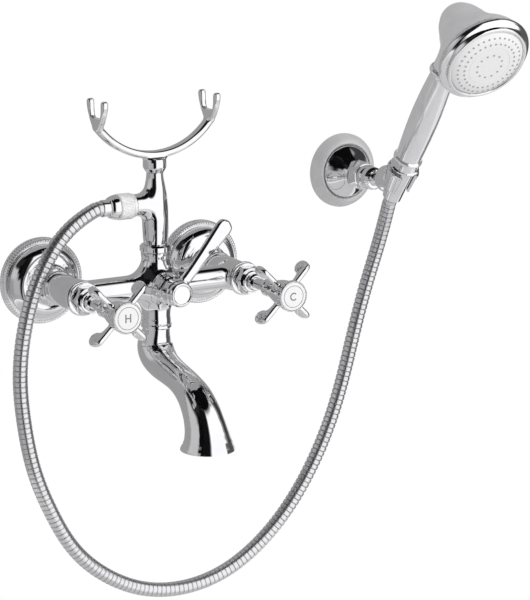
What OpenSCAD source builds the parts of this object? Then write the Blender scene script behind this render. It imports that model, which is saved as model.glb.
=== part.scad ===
// Wall-mounted bath shower mixer with cross handles, a diverter lever, a spout, a
// handset cradle, a ribbed hose and a handset on a wall bracket.
// Sizes are in millimetres. X runs to the right, Y into the wall and Z up. The wall
// is the plane y = 0 and the origin lies midway between the two inlets.

/* [Wall layout] */
// Distance between the hot and cold inlet axes
inlet_centres = 150; // [146:1:160]
// Distance from the wall to the column axis
body_reach = 66; // [64:1:74]
// Bracket axis to the right of the middle
bracket_x = 222; // [205:1:245]
// Bracket axis above the inlets
bracket_z = 67; // [55:1:80]

/* [Inlets and wall flanges] */
// Inlet pipe thread, outside diameter
inlet_thread_d = 20.955; // [20.5:0.005:21.5]
// Thread length behind the wall
inlet_thread_len = 16; // [12:1:22]
// Water bore of the inlets
inlet_bore_d = 14; // [12:0.5:15]
// Wall flange diameter
flange_d = 73; // [72:1:80]
// Diameter of the flange dome inside its milled rim
flange_dome_d = 64; // [62:0.5:65]
// Height of the flange dome in front of the wall
flange_dome = 20; // [18:0.5:22]
// Distance from the wall to the end of the flange neck
flange_depth = 33; // [31:0.5:35]

/* [Valves] */
// Valve chamber diameter
chamber_d = 25.4; // [25:0.2:28]
// Diameter of the collar in front of the chamber
headwork_collar_d = 28.6; // [28:0.2:31]
// Headwork hexagon, across flats
headwork_flats = 23.5; // [21:0.5:25]
// Length of the headwork collar
headwork_collar_len = 6; // [5:0.5:7]
// Length of the headwork hexagon
headwork_hex_len = 8; // [6:0.5:10]
// Length of the gland in front of the hexagon
gland_len = 8; // [7:0.5:10]
// Spindle diameter
spindle_d = 9.2; // [8:0.2:9.6]
// Visible spindle length between gland and handle
spindle_show = 18; // [14:0.5:22]

/* [Cross handles] */
// Length of the handle hub
hub_len = 42; // [40:0.5:46]
// Diameter of the hub front
hub_d = 25.8; // [25:0.2:29]
// Diameter of the index disc
index_d = 23.2; // [20:0.2:23.6]
// Radius from the handle axis to the arm tips
arm_reach = 32; // [30:0.5:34]
// Thickness of an arm
arm_thick = 4.4; // [3.6:0.2:5.4]
// Depth of an arm beside the hub
arm_root_depth = 6; // [5:0.5:8]
// Radius of the lobe at the arm end
arm_lobe_r = 5.4; // [4.8:0.2:6]

/* [Mixer body] */
// Diameter of the horizontal arms
body_arm_d = 20.8; // [20:0.2:22]
// Diameter of the body middle
body_mid_d = 31; // [30:0.5:33]
// Height of the body top above the inlet axis
body_top = 28; // [27:0.5:31]
// Depth of the body bottom below the inlet axis
body_bottom = 32; // [31:0.5:35]
// Diameter of the upper and lower ends of the body
body_end_d = 24.8; // [24:0.2:26]

/* [Diverter] */
// Diameter of the diverter boss
boss_d = 24.4; // [24:0.2:26]
// Distance from the column axis to the boss front
boss_len = 26; // [25:0.5:30]
// Diameter of the lever hub
lever_hub_d = 21.6; // [21:0.2:23]
// Length of the lever hub
lever_hub_len = 10; // [9:0.5:12]
// Diameter of the lever cap
lever_cap_d = 19.4; // [18:0.2:20.6]
// Height of the lever cap
lever_cap_h = 6; // [4:0.5:7]
// Distance from the diverter axis to the centre of the lever tip
lever_len = 67; // [60:1:70]
// Width of the lever beside its hub
lever_root_w = 8; // [7:0.5:10]
// Radius of the lever tip
lever_tip_r = 6.6; // [6:0.1:7]
// Thickness of the lever
lever_thick = 7; // [6:0.2:7.6]
// Lever angle to the right of vertical as stored
lever_angle = 42; // [38:1:44]

/* [Riser and cradle] */
// Height of the riser collar
riser_collar_h = 6.5; // [6:0.5:8]
// Diameter of the riser collar
riser_collar_d = 26.6; // [26:0.2:29]
// Largest diameter of the riser
riser_d = 22; // [21:0.2:23]
// Height of the hose outlet above the inlet axis
outlet_z = 68.5; // [66:0.5:71]
// Height of the riser top above the inlet axis
riser_top = 94.5; // [93:0.5:100]
// Diameter of the cradle neck
cradle_neck_d = 19.8; // [18:0.2:21]
// Height of the cradle neck
cradle_neck_h = 12; // [11:0.5:14]
// Outer radius of the cradle arc
cradle_arc_r = 68; // [65:1:72]
// Thickness of the cradle bar
cradle_bar = 7; // [6.4:0.2:8]
// Radius of the fork notch that takes the handset
fork_notch_r = 9.6; // [9:0.1:10.4]
// Thickness of a fork prong
fork_prong = 5.8; // [5:0.2:7]
// Width of a fork across its prongs
fork_width = 5.4; // [5:0.2:7]

/* [Spout] */
// Height of the spout collar
spout_collar_h = 4; // [3.5:0.5:5]
// Diameter of the spout collar
spout_collar_d = 25.8; // [25:0.2:28]
// Reach of the spout in front of the column
spout_reach = 86.5; // [82:0.5:92]
// Drop of the spout mouth below the spout collar
spout_drop = 83; // [80:0.5:88]
// Diameter of the spout lip
spout_lip_d = 45; // [42:0.5:47]

/* [Hose] */
// Outside diameter of the hose
hose_d = 12.4; // [11.6:0.2:12.8]
// Bore of the hose
hose_bore_d = 7.6; // [6:0.2:8]
// Number of ribs on the hose
hose_ribs = 196; // [160:1:200]
// Depth of the hose ribs
hose_rib_depth = 0.8; // [0.5:0.1:1]
// Diameter of the hose nut at the outlet
hose_nut_d = 21.6; // [21:0.2:24]
// Length of the hose nut at the outlet
hose_nut_len = 12; // [11.5:0.5:14]

/* [Wall bracket] */
// Bracket flange diameter
bracket_d = 66; // [64:1:72]
// Inside diameter of the bracket flange ring
bracket_crest_d = 49; // [47:0.5:51]
// Height of the bracket flange crest in front of the wall
bracket_crest = 10.5; // [9.5:0.5:12]
// Hexagon of the bracket socket, across flats
socket_flats = 23; // [22:0.5:25]
// Distance from the wall to the socket hexagon
socket_hex_out = 28; // [26:0.5:29]
// Length of the socket hexagon
socket_hex_len = 12; // [10:0.5:13]
// Distance from the wall to the ball centre
ball_out = 53; // [52:0.5:56]
// Ball diameter
ball_d = 13; // [12:0.2:14]
// Distance from the ball centre to the holder cup axis
holder_reach = 40; // [39:0.5:44]
// Height of the cup centre above the ball
holder_rise = 6; // [2:0.5:8]
// Height of the holder cup
cup_h = 21; // [19:0.5:23]
// Wall thickness of the holder cup
cup_wall = 2.8; // [2.4:0.1:3.4]
// Width of the hose slot in the cup
cup_slot = 13.6; // [13.2:0.2:14.4]

/* [Handset] */
// Turn of the handset about its handle as stored
handset_turn = -4; // [-10:1:10]
// Tilt of the handset handle in front of vertical
handset_tilt = 33; // [28:1:36]
// Length of the handle grip
grip_len = 99; // [92:1:110]
// Largest diameter of the grip
grip_d = 25.6; // [24.6:0.2:27]
// Diameter of the rings at both ends of the grip
grip_ring_d = 25.6; // [25:0.2:28]
// Face centre beyond the top of the grip, along the handle axis
face_rise = 44.4; // [42:0.2:47]
// Distance from the handle axis to the spray face
face_forward = 45; // [43:0.5:47]
// Angle between the handle axis and the spray direction
face_angle = 89.5; // [86:0.5:92]
// Diameter of the spray face ring
bezel_d = 79; // [77:0.5:82]
// Diameter of the back of the head
head_back_d = 39; // [38:0.2:42]
// Depth of the head behind the spray face
head_depth = 64.5; // [63:0.5:66]

/* [Fits] */
// Radial play of turning fits
running_gap = 0.06; // [0.05:0.01:0.09]
// Play between pieces that are fixed together
seat_gap = 0.15; // [0.1:0.01:0.2]
// Play between bodies that pass each other
pass_gap = 0.4; // [0.3:0.05:0.6]

/* [Hidden] */
$fn = 64;
overshoot = 1;

chrome = [0.82, 0.83, 0.85];
brass = [0.78, 0.66, 0.38];
white = [0.95, 0.95, 0.94];
ceramic = [0.88, 0.86, 0.82];
rubber = [0.12, 0.12, 0.13];
steel = [0.68, 0.69, 0.71];

valve_x = inlet_centres / 2;

// Inlet union, measured outward from the wall
tail_r = inlet_thread_d / 2;
tail_relief = 0.6;
shank_r = tail_r + 1.6;
union_nut_r = (shank_r + 3.2) / cos(30);
union_start = 1.5;
union_shoulder = 2.5;
union_len = 13.5;
tail_collar_out = union_start + union_shoulder;
tail_collar_len = 3;
washer_out = tail_collar_out + tail_collar_len;
washer_len = 2;
shank_out = washer_out + washer_len;
union_cover_r = union_nut_r + 0.6;
union_cover_len = union_start + union_len + 0.8;

// Valve stack, measured outward from the wall
chamber_r = chamber_d / 2;
chamber_back = flange_depth + 1.5;
chamber_front = body_reach + body_arm_d / 2 + 3.5;
chamber_bore_r = chamber_r - 2.55;
chamber_floor = body_reach - 16;
seal_len = 2;
disc_len = 3;
fixed_disc_out = chamber_floor + seal_len;
moving_disc_out = fixed_disc_out + disc_len + 0.05;
spindle_foot_out = moving_disc_out + disc_len;
spindle_foot_len = 3;
cage_end = spindle_foot_out + spindle_foot_len + 8;
cage_r = chamber_bore_r - seat_gap;
spindle_r = spindle_d / 2;
hex_out = chamber_front + headwork_collar_len;
gland_out = hex_out + headwork_hex_len;
gland_end = gland_out + gland_len;
hub_out = gland_end + spindle_show;
hub_end = hub_out + hub_len;
spindle_end = hub_out + 13;
index_len = 1.8;
index_out = hub_end - index_len;
screw_r = 2.5;
screw_head_r = 4.5;
screw_head_len = 4;
screw_seat = spindle_end + 6;
screw_tip = spindle_end - 9;
ring_out = gland_out + 2;
ring_wire_r = 0.75;
arm_front = hub_end - 9;

// Diverter stack, measured outward from the wall
boss_front = body_reach + boss_len;
rotor_r = 9.6;
rotor_bore_r = rotor_r + running_gap;
rotor_back = body_reach - 12.5;
rotor_len = 25;
bush_flange = 3.5;
bush_out = rotor_back + rotor_len + 0.4;
lever_hub_out = boss_front + bush_flange + pass_gap;
lever_hub_end = lever_hub_out + lever_hub_len;
rotor_stem_r = 4;
rotor_stem_end = lever_hub_end - 1.5;

// Column, heights above the inlet axis
spigot_r = 8;
spigot_len = 16;
waterway_r = 5.2;
riser_base = body_top + riser_collar_h;
cradle_stud_r = 4;
cradle_stud_len = 9;
cradle_seat = riser_top + cradle_neck_h;
cradle_mid = cradle_seat + cradle_arc_r - 1;
cradle_bar_mid = cradle_arc_r - cradle_bar / 2;
cradle_swing = 52;
fork_x = cradle_bar_mid * sin(cradle_swing) + 0.5;
fork_outer_r = fork_notch_r + fork_prong;
fork_z = cradle_mid - cradle_bar_mid * cos(cradle_swing) + fork_outer_r - 1;
fork_straight = 6.5;

// Hose outlet, measured left from the column axis
outlet_shoulder = 20.5;
outlet_thread_r = 8;
outlet_end = outlet_shoulder + hose_nut_len - 5.6;
hose_washer_len = 2;
ferrule_collar_at = outlet_end + hose_washer_len;
ferrule_collar_len = 2;
ferrule_neck_end = outlet_shoulder + hose_nut_len + 0.9;
ferrule_sleeve_at = ferrule_neck_end + 8.4;
ferrule_end = ferrule_sleeve_at + 7.6;
hose_r = hose_d / 2;
hose_seat_r = hose_r + 0.25;
hose_start_at = ferrule_neck_end + 3;

// Spout, heights below the inlet axis are negative
spout_top = -body_bottom - spout_collar_h;
spout_sides = 20;
spout_wall = 3.2;
spout_bore_top_r = spigot_r + 0.5;
spout_bore_mouth_r = 12.6;
nipple_reach = 1.5;

// Bracket, measured outward from the wall
ball_r = ball_d / 2;
ball_seat_r = ball_r + 0.1;
plate_len = 4;
plate_r = 14;
plate_screw_gap = 18;
plate_screw_r = 2.2;
wall_screw_len = 28;
screw_runout = 0.5;
screw_neck = 0.3;
stud_r = 5;
stud_end = 17;
plate_head_top = plate_len + 2.2;
socket_out = plate_head_top + 1.8;
socket_front = ball_out - 6;
ring_front = ball_out + 2.4;
cup_out = ball_out + holder_reach;
cup_z = bracket_z + holder_rise;
cup_high = 12;
cup_low = cup_high - cup_h;
cone_rise = 2 / 26;
cone_mid_r = 9.8;
cone_gap = 0.2;
slot_reach = 40;
slot_over = 16;

// Handset, measured along the handle axis from the cup centre
cone_low = cup_high - 33;
cone_top = cup_high + 10;
hose_end_at = cone_low + 8;
grip_start = cone_top;
grip_end = grip_start + grip_len;
grip_ring_len = 5;
neck_end = grip_end + 14;
head_way_len = 32;
face_along = grip_end + face_rise;
bezel_len = 8;
rim_back = 5;
face_r = bezel_d / 2 - 8;
face_back = -5.2;
bezel_lip = 2.3;
face_top = bezel_lip + 3.2;
face_bulge = 4.5;
nozzle_rings = [[27, 36], [22, 30], [11, 12]];
nozzle_r = 0.8;
nozzle_proud = 0.3;
pad_len = 1.4;
seal_play = 0.1;

module outward(x, z, out) {
    translate([x, -out, z])
        rotate([90, 0, 0])
            children();
}

module leftward(z, along) {
    translate([-along, -body_reach, z])
        rotate([0, -90, 0])
            children();
}

module column() {
    translate([0, -body_reach, 0])
        children();
}

module handset_frame() {
    translate([bracket_x, -cup_out, cup_z])
        rotate([handset_tilt, 0, 0])
            children();
}

module face_frame() {
    handset_frame()
        rotate([0, 0, handset_turn])
            translate([0, -face_forward, face_along])
                rotate([face_angle, 0, 0])
                    children();
}

module tube(outer_r, inner_r, len) {
    difference() {
        cylinder(r = outer_r, h = len);
        translate([0, 0, -overshoot])
            cylinder(r = inner_r, h = len + 2 * overshoot);
    }
}

module hexagon(flats, len) {
    cylinder(r = flats / 2 / cos(30), h = len, $fn = 6);
}

module wire_ring(ring_r, wire_r) {
    rotate_extrude()
        translate([ring_r, 0])
            circle(r = wire_r);
}

// Inlets and wall flanges

module inlet_tail(x) {
    color(brass)
        outward(x, 0, -inlet_thread_len)
            difference() {
                union() {
                    cylinder(r = tail_r, h = inlet_thread_len);
                    translate([0, 0, inlet_thread_len - overshoot])
                        cylinder(r = tail_r - tail_relief, h = overshoot + tail_collar_out + overshoot);
                    translate([0, 0, inlet_thread_len + tail_collar_out])
                        cylinder(r = shank_r, h = tail_collar_len);
                }
                translate([0, 0, -overshoot])
                    cylinder(d = inlet_bore_d, h = inlet_thread_len + washer_out + 2 * overshoot);
            }
}

module union_nut(x) {
    color(chrome)
        outward(x, 0, union_start)
            difference() {
                cylinder(r = union_nut_r, h = union_len, $fn = 6);
                translate([0, 0, -overshoot])
                    cylinder(r = tail_r + seat_gap, h = union_len);
                translate([0, 0, union_shoulder])
                    cylinder(r = shank_r + seat_gap, h = union_len);
            }
}

module union_washers() {
    color(rubber)
        for (side = [-1, 1])
            outward(side * valve_x, 0, washer_out)
                tube(shank_r - 0.2, inlet_bore_d / 2, washer_len);
}

module flange_shape(flange_r, dome_r, dome, neck_r, depth) {
    rim_r = flange_r - 2.7;
    foot = 0.35 * dome;
    round_r = dome_r - neck_r - 7;
    rotate_extrude()
        polygon(concat(
            [
                [0, 0], [flange_r, 0], [flange_r, 0.27 * dome], [flange_r - 0.5, 0.37 * dome],
                [flange_r - 1.6, 0.42 * dome], [rim_r, 0.4 * dome], [0.5 * (rim_r + dome_r), 0.33 * dome]
            ],
            [for (a = [0 : 15 : 90])
                [dome_r - round_r * (1 - cos(a)), foot + (dome - foot) * sin(a)]],
            [
                [neck_r + 5.2, dome + 0.5], [neck_r + 3.8, dome + 2.2], [neck_r + 2.6, dome + 5],
                [neck_r + 1.9, depth - 4], [neck_r + 1.6, depth], [0, depth]
            ]
        ));
}

module wall_flange(x) {
    color(chrome)
        outward(x, 0, 0)
            difference() {
                flange_shape(flange_d / 2, flange_dome_d / 2, flange_dome, shank_r, flange_depth);
                translate([0, 0, -overshoot])
                    cylinder(r = union_cover_r, h = union_cover_len + overshoot);
                translate([0, 0, -overshoot])
                    cylinder(r = shank_r + pass_gap, h = flange_depth + 2 * overshoot);
            }
}

// Mixer body

module chamber_solid() {
    rotate_extrude()
        polygon([
            [0, shank_out], [shank_r, shank_out], [shank_r, chamber_back],
            [chamber_r + 1, chamber_back], [chamber_r + 1.8, chamber_back + 0.9],
            [chamber_r + 1.8, chamber_back + 2.2], [chamber_r + 0.9, chamber_back + 3.4],
            [chamber_r + 0.6, chamber_back + 8], [chamber_r, chamber_front - 6],
            [chamber_r, chamber_front], [0, chamber_front]
        ]);
}

module chamber_bore() {
    translate([0, 0, shank_out - overshoot])
        cylinder(d = inlet_bore_d, h = chamber_floor - shank_out + 2 * overshoot);
    translate([0, 0, chamber_floor])
        cylinder(r = chamber_bore_r, h = chamber_front - chamber_floor + overshoot);
}

module body_arms() {
    rotate([0, 90, 0])
        rotate_extrude()
            polygon([
                [0, -valve_x + 4], [body_arm_d / 2, -valve_x + 4],
                [body_arm_d / 2, -34], [body_arm_d / 2 + 0.4, -28],
                [body_arm_d / 2 + 1.2, -22], [body_arm_d / 2 + 2.5, -16.5],
                [body_mid_d / 2 - 0.6, -10], [body_mid_d / 2 - 0.6, 10],
                [body_arm_d / 2 + 2.5, 16.5], [body_arm_d / 2 + 1.2, 22],
                [body_arm_d / 2 + 0.4, 28], [body_arm_d / 2, 34],
                [body_arm_d / 2, valve_x - 4], [0, valve_x - 4]
            ]);
}

module body_column() {
    rotate_extrude()
        polygon([
            [0, -body_bottom], [body_end_d / 2, -body_bottom],
            [body_end_d / 2, -body_bottom + 3], [body_end_d / 2 - 0.6, -25],
            [body_end_d / 2 + 0.3, -19], [body_end_d / 2 + 1.6, -13],
            [body_mid_d / 2 - 0.4, -7], [body_mid_d / 2, 0], [body_mid_d / 2 - 0.4, 7],
            [body_end_d / 2 + 1.6, 12], [body_end_d / 2 + 0.3, 17],
            [body_end_d / 2 - 0.6, 22], [body_end_d / 2, body_top - 2.5],
            [body_end_d / 2, body_top], [0, body_top]
        ]);
}

module boss_solid() {
    rotate_extrude()
        polygon([
            [0, 0], [body_mid_d / 2 - 0.8, 0], [body_mid_d / 2 - 0.8, 8],
            [boss_d / 2 + 1.4, 12], [boss_d / 2 + 0.4, 16], [boss_d / 2, 20],
            [boss_d / 2, boss_len], [0, boss_len]
        ]);
}

module mixer_body() {
    color(chrome)
        difference() {
            union() {
                for (side = [-1, 1])
                    outward(side * valve_x, 0, 0)
                        chamber_solid();
                column() {
                    body_arms();
                    body_column();
                    rotate([90, 0, 0])
                        boss_solid();
                }
            }
            for (side = [-1, 1])
                outward(side * valve_x, 0, 0)
                    chamber_bore();
            column()
                translate([-valve_x, 0, 0])
                    rotate([0, 90, 0])
                        cylinder(r = waterway_r, h = inlet_centres);
            outward(0, 0, rotor_back)
                cylinder(r = rotor_bore_r, h = boss_front - rotor_back + overshoot);
            column() {
                translate([0, 0, -body_bottom - overshoot])
                    cylinder(r = waterway_r, h = body_top + body_bottom + 2 * overshoot);
                translate([0, 0, body_top - spigot_len])
                    cylinder(r = spigot_r + seat_gap, h = spigot_len + overshoot);
                translate([0, 0, -body_bottom - overshoot])
                    cylinder(r = spigot_r + seat_gap, h = spigot_len + overshoot);
            }
        }
}

// Valves

module seat_seals() {
    color(rubber)
        for (side = [-1, 1])
            outward(side * valve_x, 0, chamber_floor)
                tube(cage_r, inlet_bore_d / 2 - 1, seal_len);
}

module fixed_discs() {
    color(ceramic)
        for (side = [-1, 1])
            outward(side * valve_x, 0, fixed_disc_out)
                difference() {
                    cylinder(r = cage_r, h = disc_len);
                    for (turn = [0, 180])
                        rotate([0, 0, turn])
                            translate([4.6, 0, -overshoot])
                                cylinder(r = 2.6, h = disc_len + 2 * overshoot);
                }
}

module headwork(x) {
    color(chrome)
        outward(x, 0, 0)
            difference() {
                union() {
                    translate([0, 0, fixed_disc_out + disc_len])
                        cylinder(r = cage_r, h = chamber_front - fixed_disc_out - disc_len + overshoot);
                    rotate_extrude()
                        polygon([
                            [0, chamber_front], [headwork_collar_d / 2 - 1, chamber_front],
                            [headwork_collar_d / 2, chamber_front + 0.8],
                            [headwork_collar_d / 2, chamber_front + 2.4],
                            [headwork_collar_d / 2 - 1.2, chamber_front + 3.2],
                            [headwork_collar_d / 2 - 1.2, hex_out - 1],
                            [headwork_collar_d / 2 - 2, hex_out], [0, hex_out]
                        ]);
                    translate([0, 0, hex_out - overshoot])
                        hexagon(headwork_flats, headwork_hex_len + overshoot);
                    rotate_extrude()
                        polygon([
                            [0, gland_out - 1], [spindle_r + 4.6, gland_out - 1],
                            [spindle_r + 4.6, gland_out + 2], [spindle_r + 3.8, gland_out + 2.8],
                            [spindle_r + 2.6, gland_out + 3], [spindle_r + 2.6, gland_end - 1.6],
                            [spindle_r + 1.4, gland_end], [0, gland_end]
                        ]);
                }
                translate([0, 0, fixed_disc_out])
                    cylinder(r = cage_r - 1, h = cage_end - fixed_disc_out);
                cylinder(r = spindle_r + running_gap, h = gland_end + overshoot);
                translate([0, 0, body_reach])
                    rotate([0, 90, 0])
                        cylinder(r = 3.4, h = 40, center = true);
            }
}

module moving_disc(x) {
    color(ceramic)
        outward(x, 0, moving_disc_out)
            difference() {
                cylinder(r = cage_r - 1.4, h = disc_len);
                for (turn = [0, 180])
                    rotate([0, 0, turn + 90])
                        translate([4.6, 0, -overshoot])
                            cylinder(r = 2.4, h = disc_len + 2 * overshoot);
            }
}

module spindle(x) {
    color(brass)
        outward(x, 0, 0)
            difference() {
                union() {
                    translate([0, 0, spindle_foot_out])
                        cylinder(r = cage_r - 1.4, h = spindle_foot_len);
                    translate([0, 0, spindle_foot_out])
                        cylinder(r = spindle_r, h = spindle_end - spindle_foot_out);
                }
                translate([0, 0, ring_out - ring_wire_r])
                    tube(spindle_r + 1, spindle_r - 2 * ring_wire_r, 2 * ring_wire_r);
                translate([0, 0, screw_tip - 2])
                    cylinder(r = screw_r + seat_gap, h = spindle_end - screw_tip + 2 + overshoot);
            }
}

module spindle_ring(x) {
    color(rubber)
        outward(x, 0, ring_out)
            wire_ring(spindle_r - ring_wire_r, ring_wire_r - 0.02);
}

// Cross handles

module arm_outline() {
    tip_u = arm_reach - arm_lobe_r;
    lobe_v = arm_lobe_r + 5;
    union() {
        polygon([
            [6, 0], [arm_reach - 3, 0], [arm_reach, 3], [arm_reach, lobe_v],
            [tip_u - arm_lobe_r, lobe_v], [tip_u - arm_lobe_r - 1.4, lobe_v - 3.4],
            [tip_u - arm_lobe_r - 5, arm_root_depth + 0.8], [6, arm_root_depth]
        ]);
        translate([tip_u, lobe_v])
            circle(r = arm_lobe_r);
        translate([arm_reach - 3, 3])
            circle(r = 3);
    }
}

module cross_handle(x) {
    color(chrome)
        outward(x, 0, 0)
            difference() {
                union() {
                    rotate_extrude()
                        polygon([
                            [0, hub_out], [spindle_r + 2, hub_out], [spindle_r + 2.8, hub_out + 1],
                            [spindle_r + 2.8, hub_out + 4], [spindle_r + 2.2, hub_out + 5],
                            [spindle_r + 2.6, hub_out + 9], [hub_d / 2 - 4.4, hub_out + 15],
                            [hub_d / 2 - 2.6, hub_out + 22], [hub_d / 2 - 1.9, hub_end - 14],
                            [hub_d / 2 - 1.9, hub_end - 8], [hub_d / 2 - 1, hub_end - 5.6],
                            [hub_d / 2, hub_end - 4.6], [hub_d / 2, hub_end - 1.2],
                            [hub_d / 2 - 0.5, hub_end], [0, hub_end]
                        ]);
                    for (turn = [45 : 90 : 315])
                        rotate([0, 0, turn])
                            translate([0, arm_thick / 2, arm_front])
                                rotate([90, 0, 0])
                                    linear_extrude(arm_thick)
                                        mirror([0, 1])
                                            arm_outline();
                }
                translate([0, 0, hub_out - overshoot])
                    cylinder(r = spindle_r + seat_gap, h = spindle_end - hub_out + overshoot + 0.2);
                translate([0, 0, spindle_end])
                    cylinder(r = screw_r + seat_gap, h = hub_len);
                translate([0, 0, screw_seat])
                    cylinder(r = screw_head_r + 0.5, h = hub_len);
                translate([0, 0, index_out])
                    cylinder(r = index_d / 2 + seat_gap, h = hub_len);
            }
}

module index_disc(x) {
    color(white)
        outward(x, 0, index_out)
            rotate_extrude()
                polygon([
                    [0, 0], [index_d / 2, 0], [index_d / 2, index_len - 0.5],
                    [index_d / 2 - 0.6, index_len], [0, index_len]
                ]);
}

module handle_screw(x) {
    color(steel)
        outward(x, 0, screw_tip)
            difference() {
                union() {
                    cylinder(r = screw_r, h = screw_seat - screw_tip + overshoot);
                    translate([0, 0, screw_seat - screw_tip])
                        cylinder(r = screw_head_r, h = screw_head_len);
                }
                translate([0, 0, screw_seat - screw_tip + 1.4])
                    hexagon(4, screw_head_len);
            }
}

// Diverter

module diverter_bush() {
    color(chrome)
        outward(0, 0, 0)
            difference() {
                union() {
                    translate([0, 0, bush_out])
                        cylinder(r = rotor_r - 0.1, h = boss_front - bush_out + overshoot);
                    rotate_extrude()
                        polygon([
                            [0, boss_front], [boss_d / 2 - 0.2, boss_front],
                            [boss_d / 2 - 0.2, boss_front + bush_flange - 1],
                            [boss_d / 2 - 1.2, boss_front + bush_flange],
                            [0, boss_front + bush_flange]
                        ]);
                }
                cylinder(r = rotor_stem_r + running_gap, h = boss_front + bush_flange + overshoot);
            }
}

module diverter_rotor() {
    color(brass)
        outward(0, 0, 0)
            difference() {
                union() {
                    translate([0, 0, rotor_back + 0.3])
                        cylinder(r = rotor_r, h = rotor_len - 0.3);
                    translate([0, 0, rotor_back + 1])
                        cylinder(r = rotor_stem_r, h = rotor_stem_end - rotor_back - 1);
                }
                translate([0, 0, body_reach])
                    rotate([0, 90, 0])
                        cylinder(r = waterway_r - 1, h = 40, center = true);
                translate([0, 0, body_reach])
                    rotate([90, 0, 0])
                        cylinder(r = waterway_r - 1, h = 40);
                translate([0, 0, boss_front - 4 - ring_wire_r])
                    tube(rotor_stem_r + 1, rotor_stem_r - 2 * ring_wire_r, 2 * ring_wire_r);
            }
}

module diverter_ring() {
    color(rubber)
        outward(0, 0, boss_front - 4)
            wire_ring(rotor_stem_r - ring_wire_r, ring_wire_r - 0.02);
}

module lever_outline() {
    union() {
        polygon([
            [-lever_root_w / 2, 0], [lever_root_w / 2, 0],
            [lever_root_w / 2 - 0.6, lever_hub_d / 2 + 6],
            [lever_root_w / 2 - 0.4, 0.5 * lever_len], [lever_tip_r - 1, 0.78 * lever_len],
            [lever_tip_r, lever_len - 2], [lever_tip_r, lever_len],
            [-lever_tip_r, lever_len], [-lever_tip_r, lever_len - 2],
            [-lever_tip_r + 1, 0.78 * lever_len], [-lever_root_w / 2 + 0.4, 0.5 * lever_len],
            [-lever_root_w / 2 + 0.6, lever_hub_d / 2 + 6]
        ]);
        translate([0, lever_len])
            circle(r = lever_tip_r);
    }
}

module diverter_lever() {
    color(chrome)
        outward(0, 0, lever_hub_out)
            rotate([0, 0, -lever_angle])
                difference() {
                    union() {
                        rotate_extrude()
                            polygon([
                                [0, 0], [lever_hub_d / 2 - 1, 0], [lever_hub_d / 2, 1],
                                [lever_hub_d / 2, lever_hub_len - 1.4],
                                [lever_hub_d / 2 - 1, lever_hub_len], [0, lever_hub_len]
                            ]);
                        translate([0, 0, (lever_hub_len - lever_thick) / 2])
                            linear_extrude(lever_thick)
                                lever_outline();
                    }
                    translate([0, 0, -overshoot])
                        cylinder(r = rotor_stem_r + seat_gap, h = rotor_stem_end - lever_hub_out + overshoot);
                    translate([0, 0, lever_hub_len / 2])
                        rotate([90, 0, 0])
                            cylinder(r = 2 + seat_gap, h = lever_hub_d);
                }
}

module lever_cap() {
    color(chrome)
        outward(0, 0, lever_hub_end)
            rotate_extrude()
                polygon([
                    [0, 0], [lever_cap_d / 2 - 0.6, 0], [lever_cap_d / 2, 0.6],
                    [lever_cap_d / 2, 0.5 * lever_cap_h], [lever_cap_d / 2 - 0.7, 0.75 * lever_cap_h],
                    [lever_cap_d / 2 - 2.4, 0.92 * lever_cap_h], [lever_cap_d / 2 - 5, lever_cap_h],
                    [0, lever_cap_h]
                ]);
}

module lever_screw() {
    color(steel)
        outward(0, 0, lever_hub_out + lever_hub_len / 2)
            rotate([90, 0, -lever_angle])
                translate([0, 0, rotor_stem_r + 0.05])
                    cylinder(r = 2, h = lever_hub_d / 2 - rotor_stem_r - 1.2);
}

// Riser and cradle

module riser_collar() {
    color(chrome)
        column()
            difference() {
                rotate_extrude()
                    polygon([
                        [0, body_top], [riser_collar_d / 2 - 1.4, body_top],
                        [riser_collar_d / 2, body_top + 1.4],
                        [riser_collar_d / 2, riser_base - 1.4],
                        [riser_collar_d / 2 - 1.4, riser_base], [0, riser_base]
                    ]);
                cylinder(r = spigot_r + seat_gap, h = riser_base + overshoot);
            }
}

module riser() {
    color(chrome)
        difference() {
            union() {
                column()
                    rotate_extrude()
                        polygon([
                            [0, body_top - spigot_len + 0.5],
                            [spigot_r, body_top - spigot_len + 0.5], [spigot_r, riser_base],
                            [riser_d / 2 - 1.2, riser_base], [riser_d / 2 - 0.5, riser_base + 6],
                            [riser_d / 2, outlet_z - 16], [riser_d / 2, outlet_z - 6],
                            [riser_d / 2 - 0.7, outlet_z + 4], [riser_d / 2 - 1.9, outlet_z + 12],
                            [riser_d / 2 - 3, outlet_z + 18], [riser_d / 2 - 3.7, outlet_z + 22],
                            [riser_d / 2 - 4, riser_top], [cradle_stud_r, riser_top],
                            [cradle_stud_r, riser_top + cradle_stud_len],
                            [0, riser_top + cradle_stud_len]
                        ]);
                leftward(outlet_z, 0)
                    rotate_extrude()
                        polygon([
                            [0, 0], [riser_d / 2 - 0.6, 0], [riser_d / 2 - 0.6, riser_d / 2 - 3],
                            [riser_d / 2 - 1.6, riser_d / 2], [riser_d / 2 - 2, outlet_shoulder],
                            [outlet_thread_r, outlet_shoulder], [outlet_thread_r, outlet_end],
                            [0, outlet_end]
                        ]);
            }
            column()
                translate([0, 0, body_top - spigot_len - overshoot])
                    cylinder(r = waterway_r, h = outlet_z - body_top + spigot_len + overshoot);
            leftward(outlet_z, 0)
                cylinder(r = waterway_r, h = outlet_end + overshoot);
            column()
                translate([0, 0, body_top - 6])
                    tube(spigot_r + 1, spigot_r - 1.8, 2);
        }
}

module riser_ring() {
    color(rubber)
        column()
            translate([0, 0, body_top - 5])
                wire_ring(spigot_r - 0.85, 0.92);
}

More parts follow.
